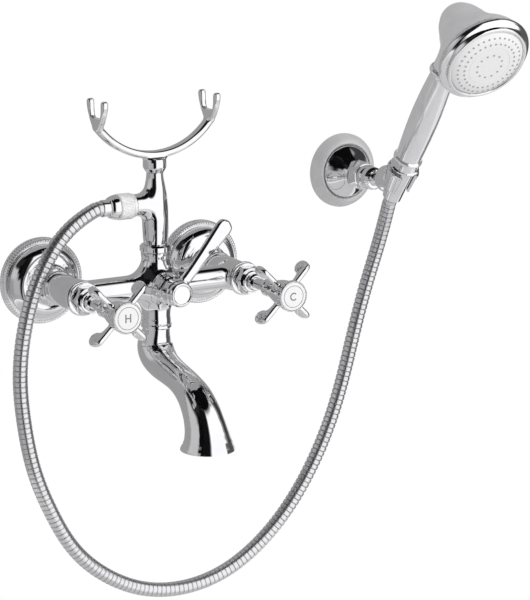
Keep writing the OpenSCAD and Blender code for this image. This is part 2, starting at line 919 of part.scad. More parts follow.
module fork() {
    rotate([90, 0, 90])
        translate([0, 0, -fork_width / 2])
            linear_extrude(fork_width)
                union() {
                    difference() {
                        circle(r = fork_outer_r);
                        circle(r = fork_notch_r);
                        translate([-2 * fork_outer_r, 0])
                            square([4 * fork_outer_r, 2 * fork_outer_r]);
                    }
                    for (side = [-1, 1]) {
                        translate([side * (fork_notch_r + fork_prong / 2) - fork_prong / 2, -0.01])
                            square([fork_prong, fork_straight + 0.01]);
                        translate([side * (fork_notch_r + fork_prong / 2), fork_straight])
                            circle(r = fork_prong / 2);
                    }
                }
}

module cradle() {
    color(chrome)
        column()
            difference() {
                union() {
                    rotate_extrude()
                        polygon([
                            [0, riser_top], [cradle_neck_d / 2 - 2.6, riser_top],
                            [cradle_neck_d / 2 - 0.4, riser_top + 3.4],
                            [cradle_neck_d / 2, riser_top + 4.4],
                            [cradle_neck_d / 2, cradle_seat - 1.6],
                            [cradle_neck_d / 2 - 1.6, cradle_seat], [0, cradle_seat]
                        ]);
                    translate([0, 0, cradle_mid])
                        rotate([90, 0, 0])
                            rotate_extrude(angle = 2 * cradle_swing, start = 270 - cradle_swing)
                                union() {
                                    translate([cradle_bar_mid - cradle_bar / 2, -1.5])
                                        square([cradle_bar, 3]);
                                    translate([cradle_bar_mid, -1.5])
                                        circle(r = cradle_bar / 2);
                                    translate([cradle_bar_mid, 1.5])
                                        circle(r = cradle_bar / 2);
                                }
                    for (side = [-1, 1])
                        translate([side * fork_x, 0, fork_z])
                            fork();
                }
                translate([0, 0, riser_top - overshoot])
                    cylinder(r = cradle_stud_r + seat_gap, h = cradle_stud_len + overshoot + 0.3);
                translate([0, 0, riser_top + cradle_stud_len - 3])
                    rotate([-90, 0, 0])
                        cylinder(r = 2 + seat_gap, h = cradle_neck_d);
            }
}

module cradle_screw() {
    color(steel)
        column()
            translate([0, 0, riser_top + cradle_stud_len - 3])
                rotate([-90, 0, 0])
                    translate([0, 0, cradle_stud_r + 0.05])
                        cylinder(r = 2, h = cradle_neck_d / 2 - cradle_stud_r - 0.8);
}

// Spout

function mix(a, b, t) = a + (b - a) * t;

function curve(p0, p1, p2, p3, t) =
    0.5 * (2 * p1 + (p2 - p0) * t + (2 * p0 - 5 * p1 + 4 * p2 - p3) * t * t
        + (3 * p1 - p0 - 3 * p2 + p3) * t * t * t);

function along_curve(pts, s) =
    let (last = len(pts) - 1)
    let (i = min(floor(s), last - 1))
    let (before = i > 0 ? pts[i - 1] : 2 * pts[0] - pts[1])
    let (after = i < last - 1 ? pts[i + 2] : 2 * pts[last] - pts[last - 1])
    curve(before, pts[i], pts[i + 1], after, s - i);

// Spout stations as [share of reach, share of drop, radius]
spout_stations = [
    [0, 0, 11.3], [-0.02, 0.09, 12.8], [-0.035, 0.19, 14.9], [0.02, 0.28, 15.1],
    [0.135, 0.345, 13.9], [0.29, 0.385, 12.6], [0.46, 0.42, 12.2], [0.62, 0.47, 12.9],
    [0.77, 0.55, 14.3], [0.89, 0.675, 15.7], [0.97, 0.81, 17],
    [0.995, 0.91, 0.42 * spout_lip_d], [1, 0.96, 0.485 * spout_lip_d], [1, 1, spout_lip_d / 2]
];
spout_rings = 39;

function spout_point(s) =
    let (p = along_curve(spout_stations, s))
    [-body_reach - p[0] * spout_reach, spout_top - p[1] * spout_drop];

function spout_heading(s) =
    let (last = len(spout_stations) - 1)
    s < 0.01 || s > last - 0.01 ? 90
    : let (a = spout_point(s - 0.01))
      let (b = spout_point(s + 0.01))
      atan2(a[1] - b[1], a[0] - b[0]);

function spout_outer(s) = along_curve(spout_stations, s)[2];

function spout_inner(s) =
    let (share = s / (len(spout_stations) - 1))
    share < 0.1 ? spout_bore_top_r
    : share > 0.78 ? spout_bore_mouth_r
    : mix(spout_bore_top_r, 10, min(1, (share - 0.1) / 0.2)) * (share < 0.6 ? 1 : 0)
        + (share < 0.6 ? 0 : mix(10, spout_bore_mouth_r, (share - 0.6) / 0.18));

function spout_ring(s, r) =
    let (c = spout_point(s))
    let (h = spout_heading(s))
    [for (k = [0 : spout_sides - 1])
        let (a = 360 * k / spout_sides)
        [r * cos(a), c[0] + r * sin(a) * sin(h), c[1] - r * sin(a) * cos(h)]];

// Side faces between ring i and the next of a skin with the given number of sides
function skin(first, rings, sides, flip) =
    [for (i = [0 : rings - 2]) for (k = [0 : sides - 1])
        let (a = first + i * sides + k)
        let (b = first + i * sides + (k + 1) % sides)
        each flip
            ? [[a, b, b + sides], [a, b + sides, a + sides]]
            : [[b, a, b + sides], [a, a + sides, b + sides]]];

// End face between two rings of the same number of sides
function end_cap(outer, inner, sides, flip) =
    [for (k = [0 : sides - 1])
        let (n = (k + 1) % sides)
        each flip
            ? [[outer + k, outer + n, inner + n], [outer + k, inner + n, inner + k]]
            : [[outer + n, outer + k, inner + n], [outer + k, inner + k, inner + n]]];

module spout() {
    last = len(spout_stations) - 1;
    shares = [for (i = [0 : spout_rings - 1]) last * i / (spout_rings - 1)];
    outer = [for (s = shares) each spout_ring(s, spout_outer(s))];
    inner = [for (s = shares) each spout_ring(s, spout_inner(s))];
    inner_first = len(outer);
    tail = (spout_rings - 1) * spout_sides;
    color(chrome)
        polyhedron(
            points = concat(outer, inner),
            faces = concat(
                skin(0, spout_rings, spout_sides, true),
                skin(inner_first, spout_rings, spout_sides, false),
                end_cap(0, inner_first, spout_sides, false),
                end_cap(tail, inner_first + tail, spout_sides, true)
            )
        );
}

module spout_collar() {
    color(chrome)
        column()
            difference() {
                rotate_extrude()
                    polygon([
                        [0, spout_top], [spout_collar_d / 2 - 1, spout_top],
                        [spout_collar_d / 2, spout_top + 1],
                        [spout_collar_d / 2, -body_bottom - 1],
                        [spout_collar_d / 2 - 1, -body_bottom], [0, -body_bottom]
                    ]);
                translate([0, 0, spout_top - overshoot])
                    cylinder(r = spigot_r + seat_gap, h = spout_collar_h + 2 * overshoot);
            }
}

module spout_nipple() {
    color(brass)
        column()
            translate([0, 0, spout_top - nipple_reach])
                tube(spigot_r, waterway_r, spout_collar_h + spigot_len + nipple_reach - 0.5);
}

module flow_straightener() {
    color(white)
        translate([0, -body_reach - spout_reach, spout_top - spout_drop + 0.6])
            difference() {
                cylinder(r = spout_bore_mouth_r * cos(180 / spout_sides) - 0.1, h = 2.4);
                for (ring = [[0, 1], [4.4, 6], [8.8, 12]])
                    for (k = [0 : ring[1] - 1])
                        rotate([0, 0, 360 * k / ring[1]])
                            translate([ring[0], 0, -overshoot])
                                cylinder(r = 1.7, h = 2.4 + 2 * overshoot);
            }
}

// Hose and its fittings

module hose_nut() {
    color(chrome)
        leftward(outlet_z, outlet_shoulder + 0.1)
            difference() {
                rotate_extrude()
                    polygon([
                        [0, 0], [hose_nut_d / 2 - 0.8, 0], [hose_nut_d / 2, 0.8],
                        [hose_nut_d / 2, hose_nut_len - 1.4],
                        [hose_nut_d / 2 - 1, hose_nut_len], [0, hose_nut_len]
                    ]);
                translate([0, 0, -overshoot])
                    cylinder(r = outlet_thread_r - 1.2, h = hose_nut_len + 2 * overshoot);
                translate([0, 0, -overshoot])
                    cylinder(r = outlet_thread_r + seat_gap,
                        h = ferrule_collar_at + ferrule_collar_len - outlet_shoulder + overshoot);
            }
}

module hose_washer() {
    color(rubber)
        leftward(outlet_z, outlet_end)
            tube(outlet_thread_r - 0.1, waterway_r - 1.2, hose_washer_len);
}

module hose_ferrule() {
    color(chrome)
        leftward(outlet_z, 0)
            difference() {
                rotate_extrude()
                    polygon([
                        [0, ferrule_collar_at], [outlet_thread_r, ferrule_collar_at],
                        [outlet_thread_r, ferrule_collar_at + ferrule_collar_len],
                        [outlet_thread_r - 1.5, ferrule_collar_at + ferrule_collar_len],
                        [outlet_thread_r - 1.5, ferrule_neck_end],
                        [hose_nut_d / 2 - 0.2, ferrule_neck_end], [hose_nut_d / 2 + 0.4, ferrule_neck_end + 1],
                        [hose_nut_d / 2 + 0.4, ferrule_neck_end + 3], [hose_nut_d / 2 - 0.6, ferrule_neck_end + 5],
                        [hose_r + 2.6, ferrule_neck_end + 6.6], [hose_r + 1.5, ferrule_neck_end + 7.4],
                        [hose_r + 1.3, ferrule_sleeve_at], [hose_r + 0.8, ferrule_sleeve_at + 0.6],
                        [hose_r + 0.8, ferrule_end - 0.4], [hose_seat_r + 0.2, ferrule_end], [0, ferrule_end]
                    ]);
                translate([0, 0, ferrule_collar_at - overshoot])
                    cylinder(r = hose_bore_d / 2, h = 30);
                translate([0, 0, hose_start_at - 0.3])
                    cylinder(r = hose_seat_r, h = 30);
            }
}

// Hose route in the stored layout, from the outlet down and round to the handset
hose_route = [
    [-56, -66, 67.5], [-72, -66, 59.5], [-87, -66, 48], [-108, -66, 14], [-120, -66, -24],
    [-125, -66, -63], [-122, -66, -102], [-115, -66, -141], [-101, -66, -178],
    [-79, -65, -218], [-49, -65, -246], [-12, -64, -265], [28, -64, -270],
    [68, -63, -262], [104, -62, -241], [133, -61, -213], [157, -60, -179],
    [175, -60, -142], [188, -60, -104], [198, -61, -64], [209, -62, -25], [219, -67, 13]
];

handset_up = [0, -sin(handset_tilt), cos(handset_tilt)];
hose_end = [bracket_x, -cup_out, cup_z] + hose_end_at * handset_up;
hose_mouth = [bracket_x, -cup_out, cup_z] + (cone_low - 6) * handset_up;
route_start = [-66, 68.5];
route_mouth = [222, -78.3, 50.4];
start_shift = [0, -body_reach - route_start[0], outlet_z - route_start[1]];
end_shift = hose_mouth - route_mouth;
hose_points = concat(
    [[-hose_start_at, -body_reach, outlet_z], [-hose_start_at - hose_d, -body_reach, outlet_z]],
    [for (i = [0 : len(hose_route) - 1])
        let (w = i / (len(hose_route) - 1))
        hose_route[i] + (1 - w) * start_shift + w * end_shift],
    [hose_mouth, hose_end]
);
hose_last = len(hose_points) - 1;
hose_sides = 8;
hose_rings = 2 * hose_ribs + 1;
hose_bore_rings = 97;

function unit(v) = v / norm(v);

function hose_run(i) = i == 0 ? 0 : hose_run(i - 1) + norm(hose_points[i] - hose_points[i - 1]);

hose_len = hose_run(hose_last);
hose_table = [for (i = [0 : hose_last]) [hose_run(i), i]];

function hose_place(s) =
    s <= 1 ? mix(hose_points[0], hose_points[1], s)
    : s >= hose_last - 1 ? mix(hose_points[hose_last - 1], hose_points[hose_last], s - hose_last + 1)
    : along_curve(hose_points, s);

function hose_at(share) = hose_place(lookup(share * hose_len, hose_table));

function hose_heading(share) =
    share < 0.002 ? [-1, 0, 0]
    : share > 0.998 ? handset_up
    : unit(hose_at(share + 0.001) - hose_at(share - 0.001));

function hose_ring(share, r) =
    let (c = hose_at(share))
    let (t = hose_heading(share))
    let (u = unit(cross(t, [0, 1, 0])))
    let (v = cross(t, u))
    [for (k = [0 : hose_sides - 1])
        let (a = 360 * k / hose_sides)
        c + r * (cos(a) * u + sin(a) * v)];

module shower_hose() {
    outer = [for (i = [0 : hose_rings - 1])
        each hose_ring(i / (hose_rings - 1), i % 2 == 0 ? hose_r : hose_r - hose_rib_depth)];
    inner = [for (i = [0 : hose_bore_rings - 1])
        each hose_ring(i / (hose_bore_rings - 1), hose_bore_d / 2)];
    inner_first = len(outer);
    outer_tail = (hose_rings - 1) * hose_sides;
    inner_tail = inner_first + (hose_bore_rings - 1) * hose_sides;
    color(steel)
        polyhedron(
            points = concat(outer, inner),
            faces = concat(
                skin(0, hose_rings, hose_sides, true),
                skin(inner_first, hose_bore_rings, hose_sides, false),
                end_cap(0, inner_first, hose_sides, false),
                end_cap(outer_tail, inner_tail, hose_sides, true)
            )
        );
}

// Wall bracket

module bracket_plate() {
    color(steel)
        outward(bracket_x, bracket_z, 0)
            difference() {
                union() {
                    cylinder(r = plate_r, h = plate_len);
                    cylinder(r = stud_r, h = stud_end);
                }
                for (side = [-1, 1])
                    translate([0, side * plate_screw_gap / 2, -overshoot])
                        cylinder(r = plate_screw_r + seat_gap, h = plate_len + 2 * overshoot);
            }
}

module bracket_screws() {
    color(steel)
        for (side = [-1, 1])
            outward(bracket_x, bracket_z + side * plate_screw_gap / 2, -wall_screw_len)
                union() {
                    cylinder(r = plate_screw_r, h = wall_screw_len - screw_runout);
                    cylinder(r = plate_screw_r - screw_neck, h = wall_screw_len + plate_len + 0.5);
                    translate([0, 0, wall_screw_len + plate_len])
                        difference() {
                            cylinder(r = 3.8, h = 2.2);
                            translate([-0.5, -4, 1.2])
                                cube([1, 8, 2]);
                        }
                }
}

module bracket_flange() {
    rise = (bracket_d - bracket_crest_d) / 2;
    color(chrome)
        outward(bracket_x, bracket_z, 0)
            difference() {
                rotate_extrude()
                    polygon([
                        [0, 0], [bracket_d / 2, 0], [bracket_d / 2, 0.24 * bracket_crest],
                        [bracket_d / 2 - 0.12 * rise, 0.5 * bracket_crest],
                        [bracket_d / 2 - 0.34 * rise, 0.76 * bracket_crest],
                        [bracket_d / 2 - 0.6 * rise, 0.94 * bracket_crest],
                        [bracket_d / 2 - 0.82 * rise, bracket_crest],
                        [bracket_crest_d / 2 + 0.5, 0.98 * bracket_crest],
                        [bracket_crest_d / 2, 0.92 * bracket_crest],
                        [bracket_crest_d / 2, socket_out], [0, socket_out]
                    ]);
                translate([0, 0, -overshoot])
                    cylinder(r = plate_r + pass_gap, h = plate_head_top + 0.4 + overshoot);
                cylinder(r = stud_r + pass_gap, h = socket_out + overshoot);
            }
}

module bracket_socket() {
    corner_r = socket_flats / 2 / cos(30);
    base_r = bracket_crest_d / 2 - 0.6;
    neck_r = socket_flats / 2 - 1.2;
    hex_end = socket_hex_out + socket_hex_len;
    color(chrome)
        outward(bracket_x, bracket_z, 0)
            difference() {
                union() {
                    rotate_extrude()
                        polygon([
                            [0, socket_out], [base_r, socket_out], [base_r - 0.2, socket_out + 1.2],
                            [mix(base_r, neck_r, 0.11), mix(socket_out, socket_hex_out, 0.18)],
                            [mix(base_r, neck_r, 0.33), mix(socket_out, socket_hex_out, 0.35)],
                            [mix(base_r, neck_r, 0.6), mix(socket_out, socket_hex_out, 0.54)],
                            [mix(base_r, neck_r, 0.82), mix(socket_out, socket_hex_out, 0.71)],
                            [mix(base_r, neck_r, 0.95), mix(socket_out, socket_hex_out, 0.84)],
                            [neck_r, socket_hex_out - 1.6], [socket_flats / 2 - 0.8, socket_hex_out],
                            [0, socket_hex_out]
                        ]);
                    intersection() {
                        translate([0, 0, socket_hex_out])
                            rotate([0, 0, 30])
                                hexagon(socket_flats, socket_hex_len);
                        rotate_extrude()
                            polygon([
                                [0, socket_hex_out], [corner_r - 0.9, socket_hex_out],
                                [corner_r, socket_hex_out + 1], [corner_r, socket_hex_out + 3],
                                [socket_flats / 2 - 0.3, hex_end], [0, hex_end]
                            ]);
                    }
                    rotate_extrude()
                        polygon([
                            [0, hex_end - 1], [socket_flats / 2 - 0.9, hex_end - 1],
                            [socket_flats / 2 - 0.9, hex_end + 0.4],
                            [ball_r + 4, 0.5 * (hex_end + socket_front)],
                            [ball_r + 3.2, socket_front], [0, socket_front]
                        ]);
                }
                translate([0, 0, socket_out - overshoot])
                    cylinder(r = stud_r + seat_gap, h = stud_end - socket_out + overshoot + 1);
                translate([0, 0, socket_front - 6])
                    cylinder(r = ball_r - 1, h = 6 + overshoot);
            }
}

module ball_pad() {
    color(white)
        outward(bracket_x, bracket_z, 0)
            difference() {
                translate([0, 0, socket_front - 5.9])
                    cylinder(r = ball_r - 1 - seat_gap, h = 6.5);
                translate([0, 0, ball_out])
                    sphere(r = ball_seat_r);
            }
}

module ball_ring() {
    color(chrome)
        outward(bracket_x, bracket_z, 0)
            difference() {
                rotate_extrude()
                    polygon([
                        [0, socket_front], [ball_r + 3.4, socket_front],
                        [ball_r + 3.8, socket_front + 1], [ball_r + 3.4, ring_front - 2.4],
                        [ball_r + 1.6, ring_front], [0, ring_front]
                    ]);
                translate([0, 0, ball_out])
                    sphere(r = ball_seat_r);
                translate([0, 0, socket_front - overshoot])
                    cylinder(r = ball_r - 0.6, h = 4);
            }
}

module holder_cup() {
    low_r = cone_mid_r + cone_rise * cup_low;
    high_r = cone_mid_r + cone_rise * cup_high;
    rotate_extrude()
        polygon([
            [0, cup_low], [low_r + cup_wall - 0.8, cup_low], [low_r + cup_wall, cup_low + 0.8],
            [high_r + cup_wall, cup_high - 3.4], [high_r + cup_wall + 0.7, cup_high - 2.6],
            [high_r + cup_wall + 0.7, cup_high - 0.7], [high_r + cup_wall, cup_high], [0, cup_high]
        ]);
}

module handset_holder() {
    stem_rise = atan2(holder_rise, holder_reach);
    stem_len = norm([holder_reach, holder_rise]);
    color(chrome)
        difference() {
            union() {
                outward(bracket_x, bracket_z, ball_out)
                    sphere(r = ball_r);
                outward(bracket_x, bracket_z, ball_out)
                    rotate([-stem_rise, 0, 0])
                        rotate_extrude()
                            polygon([
                                [0, 1], [3.8, 1], [3.8, ball_r + 2.5], [6.4, ball_r + 5.6],
                                [9.8, ball_r + 9.4], [11.8, ball_r + 13.6], [12.2, stem_len - 10],
                                [12.2, stem_len - 6], [0, stem_len - 6]
                            ]);
                handset_frame()
                    holder_cup();
            }
            handset_frame() {
                translate([0, 0, cup_low - overshoot])
                    cylinder(
                        r1 = cone_mid_r + cone_rise * (cup_low - overshoot),
                        r2 = cone_mid_r + cone_rise * (cup_high + overshoot),
                        h = cup_h + 2 * overshoot
                    );
                translate([0, 0, cup_low - slot_over])
                    cylinder(r = cone_mid_r + cone_rise * (cup_low - overshoot), h = slot_over);
                translate([-cup_slot / 2, -slot_reach, cup_low - slot_over])
                    cube([cup_slot, slot_reach, cup_h + 2 * slot_over]);
            }
        }
}

// Handset

module cone_nut() {
    color(chrome)
        handset_frame()
            difference() {
                rotate_extrude()
                    polygon([
                        [0, cone_low], [hose_r + 1.5, cone_low], [hose_r + 2.2, cone_low + 1],
                        [cone_mid_r - cone_gap + cone_rise * (cup_low - 1), cup_low - 1],
                        [cone_mid_r - cone_gap + cone_rise * (cup_high + 0.4), cup_high + 0.4],
                        [grip_ring_d / 2 - 0.6, cup_high + 1], [grip_ring_d / 2, cup_high + 1.8],
                        [grip_ring_d / 2, cup_high + 3], [grip_ring_d / 2 - 1.4, cup_high + 3.8],
                        [grip_ring_d / 2 - 2, cone_top], [0, cone_top]
                    ]);
                translate([0, 0, cone_low - overshoot])
                    cylinder(r = hose_seat_r, h = hose_end_at - cone_low + overshoot + 0.3);
                translate([0, 0, cone_low])
                    cylinder(r = hose_bore_d / 2, h = cone_top - cone_low + overshoot);
                translate([0, 0, cone_top - 12])
                    cylinder(r = spigot_r - 1 + seat_gap, h = 12 + overshoot);
            }
}

module handset_handle() {
    color(chrome)
        handset_frame()
            difference() {
                rotate_extrude()
                    polygon([
                        [0, grip_start - 11.5], [spigot_r - 1, grip_start - 11.5],
                        [spigot_r - 1, grip_start], [grip_ring_d / 2 - 1, grip_start],
                        [grip_ring_d / 2, grip_start + 1], [grip_ring_d / 2, grip_start + 2.6],
                        [grip_ring_d / 2 - 1.4, grip_start + 3.6],
                        [grip_d / 2 - 1.6, grip_start + grip_ring_len],
                        [grip_d / 2 - 0.9, grip_start + 0.18 * grip_len],
                        [grip_d / 2 - 0.2, grip_start + 0.35 * grip_len],
                        [grip_d / 2, grip_start + 0.5 * grip_len],
                        [grip_d / 2 - 0.4, grip_start + 0.64 * grip_len],
                        [grip_d / 2 - 1.3, grip_start + 0.8 * grip_len],
                        [grip_d / 2 - 2.3, grip_end - grip_ring_len - 2],
                        [grip_ring_d / 2 - 1.6, grip_end - grip_ring_len],
                        [grip_ring_d / 2 - 0.2, grip_end - 3.6], [grip_ring_d / 2, grip_end - 2.6],
                        [grip_ring_d / 2 - 0.8, grip_end - 1], [grip_ring_d / 2 - 1.6, grip_end],
                        [spigot_r - 1, grip_end], [spigot_r - 1, neck_end], [0, neck_end]
                    ]);
                translate([0, 0, grip_start - 12.5])
                    cylinder(r = waterway_r, h = neck_end - grip_start + 14);
            }
}

module bell_outer() {
    back = head_back_d / 2;
    rim = bezel_d / 2;
    rotate_extrude()
        polygon([
            [0, -head_depth], [0.32 * back, 0.4 - head_depth], [0.57 * back, 1.5 - head_depth],
            [0.66 * back, 3.5 - head_depth], [0.755 * back, 5.5 - head_depth],
            [0.855 * back, 8.5 - head_depth], [0.925 * back, 11.5 - head_depth],
            [back, 15.5 - head_depth], [back + 1.4, 19.5 - head_depth],
            [mix(back, rim, 0.16), -39], [mix(back, rim, 0.27), -34], [mix(back, rim, 0.395), -29],
            [mix(back, rim, 0.55), -24], [mix(back, rim, 0.72), -19], [mix(back, rim, 0.84), -14],
            [rim - 1.4, -9], [rim - 1.1, -bezel_len], [0, -bezel_len]
        ]);
}

module bell_inner() {
    back = head_back_d / 2;
    rim = bezel_d / 2;
    rotate_extrude()
        polygon([
            [0, 3 - head_depth], [0.5 * back, 5 - head_depth], [0.72 * back, 9.6 - head_depth],
            [back - 3, 16 - head_depth], [mix(back, rim, 0.16) - 2.8, -38],
            [mix(back, rim, 0.395) - 2.8, -28], [face_r - 5, -21], [face_r - 3, -bezel_len - 4],
            [face_r - 2.4, -bezel_len - 1.4], [face_r - 2.4, -bezel_len + overshoot],
            [0, -bezel_len + overshoot]
        ]);
}

module handset_head() {
    color(chrome)
        difference() {
            union() {
                face_frame()
                    bell_outer();
                handset_frame()
                    rotate_extrude()
                        polygon([
                            [0, grip_end + 0.1], [grip_ring_d / 2 - 2.4, grip_end + 0.1],
                            [grip_ring_d / 2 - 1.8, grip_end + 1.2],
                            [grip_ring_d / 2 - 2.4, grip_end + 9],
                            [grip_ring_d / 2 - 1.8, grip_end + 19],
                            [grip_ring_d / 2 - 0.6, grip_end + 28], [0, grip_end + 28]
                        ]);
            }
            face_frame()
                bell_inner();
            handset_frame() {
                translate([0, 0, grip_end - overshoot])
                    cylinder(r = spigot_r - 1 + seat_gap, h = neck_end - grip_end + overshoot + 0.3);
                translate([0, 0, grip_end])
                    cylinder(r = waterway_r, h = head_way_len);
            }
        }
}

module bezel_ring() {
    rim = bezel_d / 2;
    color(chrome)
        face_frame()
            rotate_extrude()
                polygon([
                    [face_r - 3, -bezel_len], [rim - 1.2, -bezel_len], [rim - 0.3, -rim_back - 1.6],
                    [rim, -rim_back], [rim - 0.4, 1.8 - rim_back], [rim - 1.5, -1.4], [rim - 2.9, 0],
                    [rim - 4.7, 0.6 * bezel_lip], [face_r + 1.7, bezel_lip], [face_r + 0.7, bezel_lip],
                    [face_r + seat_gap, bezel_lip - 0.7],
                    [face_r + seat_gap, face_back], [face_r - 3, face_back]
                ]);
}

function face_height(r) = face_top - face_bulge * pow(r / face_r, 6);

module each_nozzle() {
    for (ring = nozzle_rings)
        for (k = [0 : ring[1] - 1])
            rotate([0, 0, 360 * k / ring[1]])
                translate([ring[0], 0, face_back])
                    cylinder(r = nozzle_r + $grow, h = face_height(ring[0]) + nozzle_proud - face_back + $reach);
}

module spray_face() {
    color(white)
        face_frame()
            difference() {
                rotate_extrude()
                    polygon(concat(
                        [[0, face_back + 0.05], [face_r, face_back + 0.05]],
                        [for (share = [1, 0.97, 0.93, 0.88, 0.82, 0.72, 0.55, 0.3, 0])
                            [share * face_r, face_height(share * face_r)]]
                    ));
                translate([0, 0, -overshoot])
                    each_nozzle($grow = 0.1, $reach = 2 * overshoot);
            }
}

module spray_nozzles() {
    color(rubber)
        face_frame()
            union() {
                translate([0, 0, face_back - pad_len])
                    tube(face_r - 3.2, 5, pad_len);
                translate([0, 0, -0.2])
                    each_nozzle($grow = 0, $reach = 0.2);
            }
}

module head_seal() {
    color(rubber)
        face_frame()
            translate([0, 0, -bezel_len + seal_play])
                tube(face_r - 3.2, face_r - 5, bezel_len + face_back - pad_len - 2 * seal_play);
}

inlet_tail(-valve_x);  // inlet_tail_left
inlet_tail(valve_x);  // inlet_tail_right
union_nut(-valve_x);  // union_nut_left
union_nut(valve_x);  // union_nut_right
union_washers();
wall_flange(-valve_x);  // wall_flange_left
wall_flange(valve_x);  // wall_flange_right
mixer_body();
seat_seals();
fixed_discs();
headwork(-valve_x);  // headwork_left
headwork(valve_x);  // headwork_right
moving_disc(-valve_x);  // moving_disc_left
moving_disc(valve_x);  // moving_disc_right
spindle(-valve_x);  // spindle_left
spindle(valve_x);  // spindle_right
spindle_ring(-valve_x);  // spindle_ring_left
spindle_ring(valve_x);  // spindle_ring_right
cross_handle(-valve_x);  // cross_handle_left
cross_handle(valve_x);  // cross_handle_right
index_disc(-valve_x);  // index_disc_left
index_disc(valve_x);  // index_disc_right
handle_screw(-valve_x);  // handle_screw_left
handle_screw(valve_x);  // handle_screw_right
diverter_bush();
diverter_rotor();
diverter_ring();
diverter_lever();
lever_cap();
lever_screw();
riser_collar();
riser();
riser_ring();
cradle();
cradle_screw();
spout_collar();
spout_nipple();
spout();
flow_straightener();
hose_nut();
hose_washer();
hose_ferrule();
shower_hose();
bracket_plate();
bracket_screws();
bracket_flange();
bracket_socket();
ball_pad();
ball_ring();
handset_holder();
cone_nut();
handset_handle();
handset_head();
bezel_ring();
spray_face();
spray_nozzles();
head_seal();
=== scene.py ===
"""Looks of a wall-mounted bath shower mixer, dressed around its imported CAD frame.

All pieces are in metres in the frame's own axes: the wall is the plane y = 0 and the
object stands out towards -y. Shapes are worked out in millimetres and scaled once.
"""
import math

import bpy
import numpy as np
from mathutils import Matrix, Vector


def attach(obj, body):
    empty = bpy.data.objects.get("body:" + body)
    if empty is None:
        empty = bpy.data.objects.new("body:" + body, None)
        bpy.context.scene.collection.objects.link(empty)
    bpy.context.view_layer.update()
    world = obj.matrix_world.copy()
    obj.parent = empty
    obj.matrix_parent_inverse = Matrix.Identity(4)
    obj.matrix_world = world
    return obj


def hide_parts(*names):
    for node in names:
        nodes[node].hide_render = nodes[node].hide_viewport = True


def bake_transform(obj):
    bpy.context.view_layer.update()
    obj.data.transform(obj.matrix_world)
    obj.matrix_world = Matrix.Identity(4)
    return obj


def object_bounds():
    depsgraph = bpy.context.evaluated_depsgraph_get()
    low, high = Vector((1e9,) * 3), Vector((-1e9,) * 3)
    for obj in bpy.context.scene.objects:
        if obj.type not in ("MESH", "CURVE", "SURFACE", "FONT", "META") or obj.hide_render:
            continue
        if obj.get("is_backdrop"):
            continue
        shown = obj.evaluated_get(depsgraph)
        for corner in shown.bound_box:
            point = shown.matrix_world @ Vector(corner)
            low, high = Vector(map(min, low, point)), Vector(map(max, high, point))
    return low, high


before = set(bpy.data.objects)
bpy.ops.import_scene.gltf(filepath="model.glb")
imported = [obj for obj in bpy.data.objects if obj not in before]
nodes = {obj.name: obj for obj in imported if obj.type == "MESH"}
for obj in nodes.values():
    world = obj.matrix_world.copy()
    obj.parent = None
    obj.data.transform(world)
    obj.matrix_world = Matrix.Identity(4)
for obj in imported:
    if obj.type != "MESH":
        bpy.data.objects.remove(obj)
cad_low, cad_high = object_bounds()
scene = bpy.context.scene
MM = 0.001

# Camera at the photograph's viewing angle

EYE = Vector((-0.8704, -1.7253, 0.4192))
RIGHT = Vector((0.8622, -0.5065, 0.0)).normalized()
UP = Vector((0.1140, 0.1940, 0.9743)).normalized()
camera_data = bpy.data.cameras.new("camera")
camera_data.lens = 139.2
camera_data.sensor_width = 36.0
camera_data.clip_start, camera_data.clip_end = 0.05, 60.0
camera = bpy.data.objects.new("camera", camera_data)
scene.collection.objects.link(camera)
camera.matrix_world = Matrix.Translation(EYE) @ Matrix(
    (RIGHT, UP, RIGHT.cross(UP))
).transposed().to_4x4()
scene.camera = camera
scene.view_settings.view_transform = "Standard"

# Sizes in millimetres, the same as in the CAD source

VALVE_X = 75.0
BODY_OUT = 66.0
OUTLET_Z = 68.5
HUB_OUT = 119.9
HUB_END = 161.9
ARM_FRONT = 152.9
INDEX_OUT = 160.1
LEVER_OUT = 95.9
LEVER_END = 105.9
LEVER_TURN = 42.0
BRACKET = (222.0, 67.0)
BALL_OUT = 53.0
CUP = np.array([222.0, -93.0, 73.0])
TILT = math.radians(33.0)
HEAD_TURN, HEAD_TILT = math.radians(-4.0), math.radians(89.5)
HEAD_PLACE = (0, -45.0, 165.4)


# Frames: each maps local millimetres, axis along z, to the object's own

def axes_matrix(x_axis, y_axis, z_axis, origin):
    turn = Matrix((x_axis, y_axis, z_axis)).transposed().to_4x4()
    return Matrix.Translation(Vector(origin)) @ turn


def outward(x, z, out):
    return axes_matrix((1, 0, 0), (0, 0, 1), (0, -1, 0), (x, -out, z))


def leftward(z, along):
    return axes_matrix((0, 0, 1), (0, 1, 0), (-1, 0, 0), (-along, -BODY_OUT, z))


COLUMN = Matrix.Translation((0, -BODY_OUT, 0))
HANDSET = Matrix.Translation(Vector(CUP)) @ Matrix.Rotation(TILT, 4, "X")
FACE = (
    HANDSET
    @ Matrix.Rotation(HEAD_TURN, 4, "Z")
    @ Matrix.Translation(HEAD_PLACE)
    @ Matrix.Rotation(HEAD_TILT, 4, "X")
)


# Meshes

def add_mesh(name, points, faces, material, sharp=None, normals=None):
    """New object from points in millimetres of the object's frame."""
    mesh = bpy.data.meshes.new(name)
    mesh.from_pydata((np.asarray(points) * MM).tolist(), [], [list(map(int, f)) for f in faces])
    mesh.validate()
    mesh.update()
    mesh.shade_smooth()
    if sharp is not None:
        mesh.set_sharp_from_angle(angle=math.radians(sharp))
    if normals is not None and len(normals) == len(mesh.vertices):
        mesh.normals_split_custom_set_from_vertices(np.asarray(normals).tolist())
    mesh.materials.append(material)
    made = bpy.data.objects.new(name, mesh)
    scene.collection.objects.link(made)
    return made


